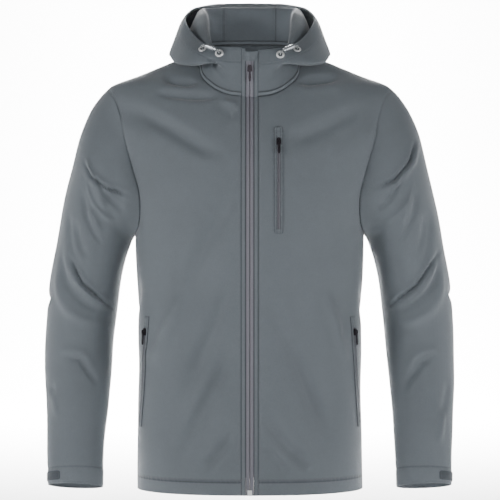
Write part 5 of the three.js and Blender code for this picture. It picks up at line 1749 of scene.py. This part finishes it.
@dataclass
class Hood:
    """The hood's three panels, the taped neck seam and the casing inside the rim."""

    wardrobe: Wardrobe
    form: HoodForm
    eyelet_angles: tuple[float, float] = (31.0, 47.0)
    eyelet_place: float = 7.45
    eyelet_hole: float = 3.7

    def raised(self, grid: Grid, above: Grid) -> Grid:
        """Lift the lowest row of a grid off the seam band, towards another row."""
        far = np.linalg.norm(above - grid[0], axis=-1, keepdims=True)
        grid[0] = grid[0] + (above - grid[0]) * ((BAND_HEIGHT + 3 * SEAM_GAP) / far)
        return grid

    def places(self) -> np.ndarray:
        """Give places up the hood's cloth, close together where it turns."""
        even = np.linspace(0.35, 8.0, 92)
        return np.concatenate([[0.0], np.unique(np.concatenate([even, [7.96, 7.985]]))])

    def panel(self, make: Callable[[np.ndarray, float], Grid]) -> Cloth:
        """Make the wall of one panel that starts above the seam band."""
        places = self.places()
        grids = []
        for lift in (0.0, -SHELL):
            grid = make(places, lift)
            above = make(np.array([1.0]), lift)[0]
            low = make(np.array([0.0]), lift)[0]
            grid[0] = self.raised(low[None], above)[0]
            band = np.linalg.norm(grid - low[None], axis=-1)
            keep = (band > BAND_HEIGHT + 3 * SEAM_GAP).all(axis=1)
            keep[0] = True
            grids.append((grid, keep))
        both = grids[0][1] & grids[1][1]
        return Cloth(grids[0][0][both], grids[1][0][both])

    def build(self) -> None:
        """Make the hood."""
        shares = np.unique(np.concatenate([np.linspace(0, 1, 97), [0.002, 0.006, 0.994, 0.998]]))
        for side, sign in (("left", 1), ("right", -1)):
            cloth = self.panel(lambda places, lift: self.form.side(sign, shares, places, lift))
            centre_edge = "right" if sign < 0 else "left"
            cloth.pull_in("left", "right", distance=0.12).soften_edges(centre_edge, "high", depth=0.45)
            middle = Edge.RIGHT if sign < 0 else Edge.LEFT
            finish = Softshell(
                f"softshell_hood_{side}", HOOD_SHADED_GREY,
                (Stitching(Edge.HIGH, 24.0), Stitching(middle, 3.0), Stitching(Edge.HIGH, 2.0, shade=0.85)),
                (middle, Edge.LOW),
            )
            thing = self.wardrobe.sewn(
                f"hood_side_{side}_cloth",
                cloth,
                finish,
                "softshell",
                "folded",
                ("neck_band_cloth",),
                f"hood_side_{side}",
            )
            for angle in self.eyelet_angles:
                cut_away(
                    thing,
                    disc("eyelet_hole", self.eyelet_hole * MM, 12 * MM, self.eyelet_frame(sign * angle)),
                )
            tidy_normals(thing)
        cloth = self.panel(lambda places, lift: self.form.centre(41, places, lift))
        cloth.pull_in("left", "right", distance=0.12).soften_edges("left", "right", "high", depth=0.45)
        stitches = (Stitching(Edge.HIGH, 24.0), Stitching(Edge.LEFT, 3.0), Stitching(Edge.RIGHT, 3.0))
        finish = Softshell("softshell_hood_centre", HOOD_SHADED_GREY, stitches, (Edge.LEFT, Edge.RIGHT, Edge.LOW))
        self.wardrobe.sewn(
            "hood_centre_cloth", cloth, finish, "softshell", "folded", ("neck_band_cloth",), "hood_centre",
        )
        self.build_band()
        self.build_casing()

    def eyelet_frame(self, angle: float) -> Matrix:
        """Give the frame of an eyelet on the hood's cloth."""
        a, p = np.array(angle), np.array(self.eyelet_place)
        point = self.form.cloth(a, p, 0.0)
        return frame_on(point, self.form.cloth(a, p, 1.0) - point, (0, 0, 1))

    def build_band(self) -> None:
        """Make the taped seam round the neck."""
        grids = []
        for lift in (0.9, -SHELL):
            low, high = self.form.whole(np.array([0.0, 1.0]), lift, 120)
            far = np.linalg.norm(high - low, axis=-1, keepdims=True)
            rises = (
                2 * SEAM_GAP, 1.0, 1.8, BAND_HEIGHT / 2, BAND_HEIGHT - 1.4, BAND_HEIGHT - 0.5, BAND_HEIGHT,
            )
            grids.append(np.stack([low + (high - low) * rise / far for rise in rises]))
        cloth = Cloth(*grids).pull_in("left", "right").soften_edges("low", "high", depth=0.5, reach=0.8)
        finish = Softshell(
            "softshell_band", dimmed(CLOTH_GREY, 1.08), (), (Edge.LOW, Edge.HIGH), seam_shade=0.95,
        )
        self.wardrobe.sewn(
            "neck_band_cloth", cloth, finish, "softshell", "stretched", ("back_cloth",), "neck_band",
        )

    def build_casing(self) -> None:
        """Make the casing inside the hood's rim."""
        places = np.array([7.0, 7.03, 7.1, 7.25, 7.4, 7.55, 7.7, 7.85, 7.95, 7.98, 8.0])
        offset = SHELL + 1.5 * SEAM_GAP
        grids = [self.form.whole(places, lift, 120) for lift in (-offset, -offset - 1.2)]
        cloth = Cloth(*grids).pull_in("left", "right", "low", "high")
        # The casing's grey is the hood's made 1.3 times lighter: painted light, as it lies in deep shade
        # inside the rim.
        finish = Softshell("softshell_casing", dimmed(HOOD_SHADED_GREY, 1.3), (Stitching(Edge.LOW, 1.8),), ())
        self.wardrobe.sewn(
            "hood_casing_cloth",
            cloth,
            finish,
            "softshell",
            "folded",
            ("hood_centre_cloth",),
            "hood_casing",
        )


@dataclass
class CentreFront:
    """The zip's placket, its tapes and the guard over its top."""

    wardrobe: Wardrobe
    body: BodyForm
    hood: HoodForm

    def edge(self, sideways: np.ndarray, z: np.ndarray, lift: float) -> np.ndarray:
        """Give points of the front edge of body and collar; sideways is X in millimetres."""
        x, z = np.broadcast_arrays(np.asarray(sideways, float), np.asarray(z, float))
        low = np.minimum(z, NECK_FRONT_Z)
        on_body = self.body.cloth(self.body.angle_at(x, low), low, lift)
        sign = np.where(x < 0, -1.0, 1.0)
        place, step = np.full(x.shape, 4.0), 4.0
        angle = np.full(x.shape, 8.0)
        for _ in range(24):
            far, high = self.hood.profile(sign * np.maximum(angle, 0.01), place)
            angle = np.degrees(np.arcsin(np.minimum(np.abs(x) / far, 1.0)))
            step /= 2.0
            place = place + np.where(high < z, step, -step)
        on_hood = self.hood.cloth(sign * angle, place, lift)
        return np.where((z <= NECK_FRONT_Z)[..., None], on_body, on_hood)

    def strip(self, start: float, end: float, top: float, lifts: tuple[float, float], steps: int) -> Cloth:
        """Make the wall of an upright strip beside the zip."""
        heights = np.concatenate(
            [np.linspace(HEM_Z, NECK_FRONT_Z, 130), np.linspace(NECK_FRONT_Z, top, 26)[1:]]
        )
        x, z = np.meshgrid(mix(start, end, edged(steps, (0.05, 0.12))), heights)
        cloth = Cloth(*(self.edge(x, z, lift) for lift in lifts))
        return cloth.pull_in("left", "right")

    def build(self) -> None:
        """Make the centre front."""
        for side, sign in (("left", 1), ("right", -1)):
            top = -6.0 if sign < 0 else -6.0 - LEFT_RIM_DIP
            start, end = sorted((sign * PLACKET_INNER, sign * PLACKET_OUTER))
            cloth = self.strip(start, end, top, (0.5, -SHELL), 10).soften_edges(
                "left", "right", "high", depth=0.4, reach=0.9,
            )
            finish = Softshell(
                "softshell_placket",
                CLOTH_GREY,
                (),
                (Edge.LEFT, Edge.RIGHT),
                seam_shade=0.95,
                seam_shade_width=1.4,
            )
            self.wardrobe.sewn(
                f"placket_{side}_cloth",
                cloth,
                finish,
                "softshell",
                "hung",
                (f"front_{side}_cloth",),
                f"placket_{side}",
            )
            start, end = sorted((0.0, sign * PLACKET_INNER))
            tape = self.strip(start, end, -16.0, (-0.6, -SHELL), 12)
            inner = Edge.LEFT if sign > 0 else Edge.RIGHT
            finish = ZipTape(f"zip_tape_{side}_finish", TAPE_GREY, inner)
            self.wardrobe.sewn(
                f"zip_tape_{side}_cloth",
                tape,
                finish,
                "zip_tape",
                "hung",
                (f"placket_{side}_cloth",),
                f"zip_tape_{side}",
            )
        self.build_guard()

    def build_guard(self) -> None:
        """Make the small guard over the top of the zip."""
        u, z = np.meshgrid(edged(20, (0.02, 0.05)), mix(-27.0, -11.0, edged(14, (0.03, 0.07))))
        t = (z + 27.0) / 16.0
        x = mix(mix(-8.5, -9.5, t), mix(9.0, 14.0, t), u)
        cloth = Cloth(self.edge(x, z, 2.3), self.edge(x, z, 1.1))
        cloth.soften_edges("left", "right", "low", "high", depth=0.5, reach=1.0)
        finish = Softshell(
            "softshell_guard",
            CLOTH_GREY,
            (
                Stitching(Edge.LOW, 2.0, thread=0.4),
                Stitching(Edge.LEFT, 2.0, thread=0.4),
                Stitching(Edge.RIGHT, 2.0, thread=0.4),
            ),
        )
        self.wardrobe.sewn(
            "chin_guard_cloth", cloth, finish, "softshell", "laid", ("placket_right_cloth",), "chin_guard",
        )


@dataclass(frozen=True)
class Pocket:
    """The place of one zipped pocket on a front."""

    name: str
    sign: int
    top: tuple[float, float]
    end: tuple[float, float]
    corner: float

    def long(self) -> float:
        """Give its length in millimetres."""
        return math.hypot(self.end[0] - self.top[0], self.end[1] - self.top[1])

    def seat(self, down: float) -> tuple[float, float]:
        """Give X and Z at a distance down its middle line."""
        share = down / self.long()
        return self.sign * mix(self.top[0], self.end[0], share), mix(self.top[1], self.end[1], share)


POCKETS = (
    Pocket("chest_pocket", 1, (47.2, -135.0), (47.2, -311.0), 5.0),
    Pocket("side_pocket_right", -1, (171.0, -448.0), (182.5, -634.0), 1.5),
    Pocket("side_pocket_left", 1, (171.0, -448.0), (182.5, -634.0), 1.5),
)
GARAGE = 19.0
SLIDER_DOWN = GARAGE + 7.0


@dataclass
class Pockets:
    """Welts and zips of the chest pocket and the two side pockets."""

    wardrobe: Wardrobe
    panels: BodyPanels
    width: float = 14.6
    slot: float = 5.4

    def cloth_at(self, pocket: Pocket, across: np.ndarray, down: np.ndarray, lift: float) -> np.ndarray:
        """Give points over a front's cloth, across and down a pocket in millimetres."""
        form = self.panels.form
        (x0, z0), (x1, z1) = pocket.top, pocket.end
        share = down / pocket.long()
        x, z = mix(x0, x1, share), mix(z0, z1, share)
        out = form.normal(form.angle_at(x, z), z)
        way = np.cross(np.broadcast_to((x1 - x0, 0.0, z1 - z0), out.shape), out)
        way = way / np.linalg.norm(way, axis=-1, keepdims=True) * across[..., None]
        x, z = pocket.sign * (x + way[..., 0]), z + way[..., 2]
        angle = form.angle_at(x, z)
        return form.cloth(angle, z, lift, calm=self.panels.calm(angle, z, ()))

    def build(self) -> None:
        """Make every pocket."""
        for pocket in POCKETS:
            self.build_welt(pocket)
            self.build_zip(pocket)

    def build_welt(self, pocket: Pocket) -> None:
        """Make the stitched patch round a pocket's zip, with its slot."""
        long, half, slot = pocket.long(), self.width / 2, self.slot / 2
        end = long - POCKET_FOOT
        downs = np.concatenate([
            [0.0, 0.6, 1.5, 3.0, 5.0, 8.0, 12.0, 16.0, GARAGE - 0.5, GARAGE],
            np.linspace(GARAGE, end, 72)[1:],
            [end + 0.5, end + 2.0, long - 3.0, long - 1.2, long - 0.5, long],
        ])
        stops = (half, half - 0.5, half - 1.2, half - 2.4, slot + 0.5, slot)
        shares = np.array([*(-stop for stop in stops), 0.0, *reversed(stops)])
        across, down = np.meshgrid(shares, downs)
        rounding = np.clip(1.0 - down / max(pocket.corner, 0.1), 0.0, 1.0)
        edge = half - pocket.corner * (1.0 - np.sqrt(1.0 - rounding**2))
        foot = np.clip((down - (long - 2.0)) / 2.0, 0.0, 1.0)
        edge = edge - 1.6 * (1.0 - np.sqrt(1.0 - foot**2))
        across = across * edge / half
        keep = np.ones((len(downs) - 1, len(shares) - 1), bool)
        middle = (downs[:-1] + downs[1:]) / 2
        rows = (middle > GARAGE) & (middle < end)
        centre = np.abs((shares[:-1] + shares[1:]) / 2) < slot
        keep[np.ix_(rows, centre)] = False
        cloth = Cloth(
            self.cloth_at(pocket, across, down, 1.9), self.cloth_at(pocket, across, down, 0.5), keep=keep,
        )
        cloth.soften_edges("left", "right", "low", "high", depth=0.6, reach=0.9)
        # The solid dark line by each edge of the slot is painted shade; the dashed rows are stitches.
        stitches = tuple(
            Stitching(edge, away, thread=thread, shade=shade, solid=solid)
            for edge in (Edge.LEFT, Edge.RIGHT)
            for away, thread, shade, solid in ((1.5, 0.4, 0.66, False), (4.3, 0.8, 0.42, True))
        )
        finish = Softshell(
            "softshell_welt",
            CLOTH_GREY,
            (
                *stitches,
                Stitching(Edge.LOW, 1.6, thread=0.4),
                Stitching(Edge.LOW, 16.5, thread=0.5),
                Stitching(Edge.HIGH, 3.0),
            ),
            (Edge.LEFT, Edge.RIGHT, Edge.HIGH, Edge.LOW),
            seam_shade=0.8,
        )
        front = "left" if pocket.sign > 0 else "right"
        self.wardrobe.sewn(
            f"{pocket.name}_welt_cloth",
            cloth,
            finish,
            "softshell",
            "laid",
            (f"front_{front}_cloth",),
            f"{pocket.name}_welt",
        )

    def build_zip(self, pocket: Pocket) -> None:
        """Make the zip that shows in a pocket's slot."""
        downs = np.linspace(GARAGE + SEAM_GAP, pocket.long() - POCKET_FOOT - SEAM_GAP, 80)
        slot = self.slot / 2 - SEAM_GAP
        across, down = np.meshgrid(np.linspace(-slot, slot, 9), downs)
        cloth = Cloth(self.cloth_at(pocket, across, down, 1.4), self.cloth_at(pocket, across, down, 0.5))
        finish = ZipTape("pocket_zip_finish", dimmed(TAPE_GREY, 0.85), None, slit=0.95)
        self.wardrobe.sewn(
            f"{pocket.name}_zip_cloth",
            cloth,
            finish,
            "zip_tape",
            "laid",
            (f"{pocket.name}_welt_cloth",),
            f"{pocket.name}_zip",
        )


@dataclass
class Studio:
    """A pale floor that runs up into a backdrop, soft lights and the camera."""

    floor_z: float = -0.86
    pale: tuple[float, float, float, float] = (0.93, 0.93, 0.93, 1.0)

    def backdrop(self) -> None:
        """Build the floor and the wall that it sweeps up into."""
        bpy.ops.object.select_all(action="DESELECT")
        bpy.ops.mesh.primitive_plane_add(size=12, location=(0, -2.6, self.floor_z))
        floor = bpy.context.object
        floor.name = "floor"
        bpy.ops.object.transform_apply(location=True)
        bpy.ops.object.mode_set(mode="EDIT")
        bpy.ops.mesh.select_mode(type="EDGE")
        bpy.ops.mesh.select_all(action="DESELECT")
        bpy.ops.object.mode_set(mode="OBJECT")
        for edge in floor.data.edges:
            edge.select = all(floor.data.vertices[v].co.y > 3.0 for v in edge.vertices)
        bpy.ops.object.mode_set(mode="EDIT")
        for k in range(12):
            turn = math.radians(7.5 * (k + 0.5))
            step = (0.0, 0.2 * math.cos(turn), 0.2 * math.sin(turn))
            bpy.ops.mesh.extrude_region_move(TRANSFORM_OT_translate={"value": step})
        bpy.ops.mesh.extrude_region_move(TRANSFORM_OT_translate={"value": (0.0, 0.0, 6.0)})
        bpy.ops.object.mode_set(mode="OBJECT")
        bpy.ops.object.shade_smooth()
        r = Recipe("pale_floor")
        grain = r.noise(r.place(), 3.0, 2.0)
        r.feed(r.shader.inputs["Base Color"], r.blend(grain, dimmed(self.pale, 0.985), self.pale))
        r.feed(r.shader.inputs["Roughness"], grain * 0.1 + 0.85)
        r.shader.inputs["Specular IOR Level"].default_value = 0.1
        floor.data.materials.append(r.material)

    def light(
        self,
        name: str,
        place: tuple[float, float, float],
        aim: tuple[float, float, float],
        size: float,
        power: float,
        spread: float = 180.0,
    ) -> None:
        """Add one soft square light that faces a point."""
        data = bpy.data.lights.new(name, "AREA")
        data.shape, data.size, data.energy = "SQUARE", size, power
        data.spread = math.radians(spread)
        lamp = bpy.data.objects.new(name, data)
        lamp.location = place
        lamp.rotation_euler = (Vector(aim) - Vector(place)).to_track_quat("-Z", "Y").to_euler()
        lamp.visible_camera = False
        bpy.context.scene.collection.objects.link(lamp)

    def camera(self) -> None:
        """Set the camera where the photograph's was."""
        data = bpy.data.cameras.new("camera")
        data.sensor_width = 36.0
        data.lens = 36.0 * CAMERA_BACK / (500.0 * PHOTO_MM)
        data.shift_x = (250.0 - PHOTO_CENTRE[0]) / 500.0
        data.clip_end = 50.0
        camera = bpy.data.objects.new("camera", data)
        camera.location = (0.0, -CAMERA_BACK * MM, CAMERA_HEIGHT * MM)
        camera.rotation_euler = (math.radians(90), 0.0, 0.0)
        bpy.context.scene.collection.objects.link(camera)
        bpy.context.scene.camera = camera

    def build(self) -> None:
        """Set up the studio."""
        self.backdrop()
        self.camera()
        world = bpy.data.worlds.new("studio")
        world.use_nodes = True
        world.node_tree.nodes["Background"].inputs[0].default_value = (1.0, 1.0, 1.0, 1.0)
        world.node_tree.nodes["Background"].inputs[1].default_value = 0.16
        bpy.context.scene.world = world
        self.light("key", (-2.9, -1.9, 0.2), (0, 0, -0.4), 0.8, 50)
        self.light("fill", (2.9, -1.9, 0.0), (0, 0, -0.4), 0.8, 40)
        self.light("front", (-0.3, -3.8, -0.2), (0, 0, -0.3), 1.2, 18)
        self.light("neck", (0.0, 0.0, 0.05), (0, 0.11, 0.12), 0.09, 0.026)
        for side in (-1, 1):
            self.light(
                "hood", (side * 0.1, -0.35, 0.08), (side * 0.092, 0.06, 0.062), 0.03, 0.004, spread=12.0,
            )
        self.light("floor", (0.0, 3.0, 1.2), (0, 3.0, -0.86), 1.6, 420)
        self.light("wall", (0.0, 2.4, 1.9), (0, 4.8, -0.4), 2.2, 1100)


def main() -> None:
    """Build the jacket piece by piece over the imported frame."""
    logging.basicConfig(level=logging.INFO, format="%(message)s")
    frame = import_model()
    Studio().build()
    wardrobe = Wardrobe(frame)
    body = BodyForm(TORSO_FOLDS)
    hood_form = HoodForm(body, HOOD_FOLDS)
    spots = tuple(pocket.seat(SLIDER_DOWN + 6.0) for pocket in POCKETS)
    panels = BodyPanels(wardrobe, body, calm_spots=spots)
    panels.build()
    Sleeves(wardrobe, body, SLEEVE_FOLDS).build()
    Hood(wardrobe, hood_form).build()
    CentreFront(wardrobe, body, hood_form).build()
    Pockets(wardrobe, panels).build()
    for name, thing in frame["nodes"].items():
        if not thing.hide_render:
            finish = SILVER if name.startswith(
                ("eyelet", "zip_end")
            ) else LOCK_SILVER if name.startswith("cord_lock") else GUNMETAL
            if name.startswith("drawcord"):
                finish = Braid("braided_cord", CORD_GREY)
            thing.data.materials.clear()
            thing.data.materials.append(wardrobe.finish(finish))


if __name__ == "__main__":
    main()
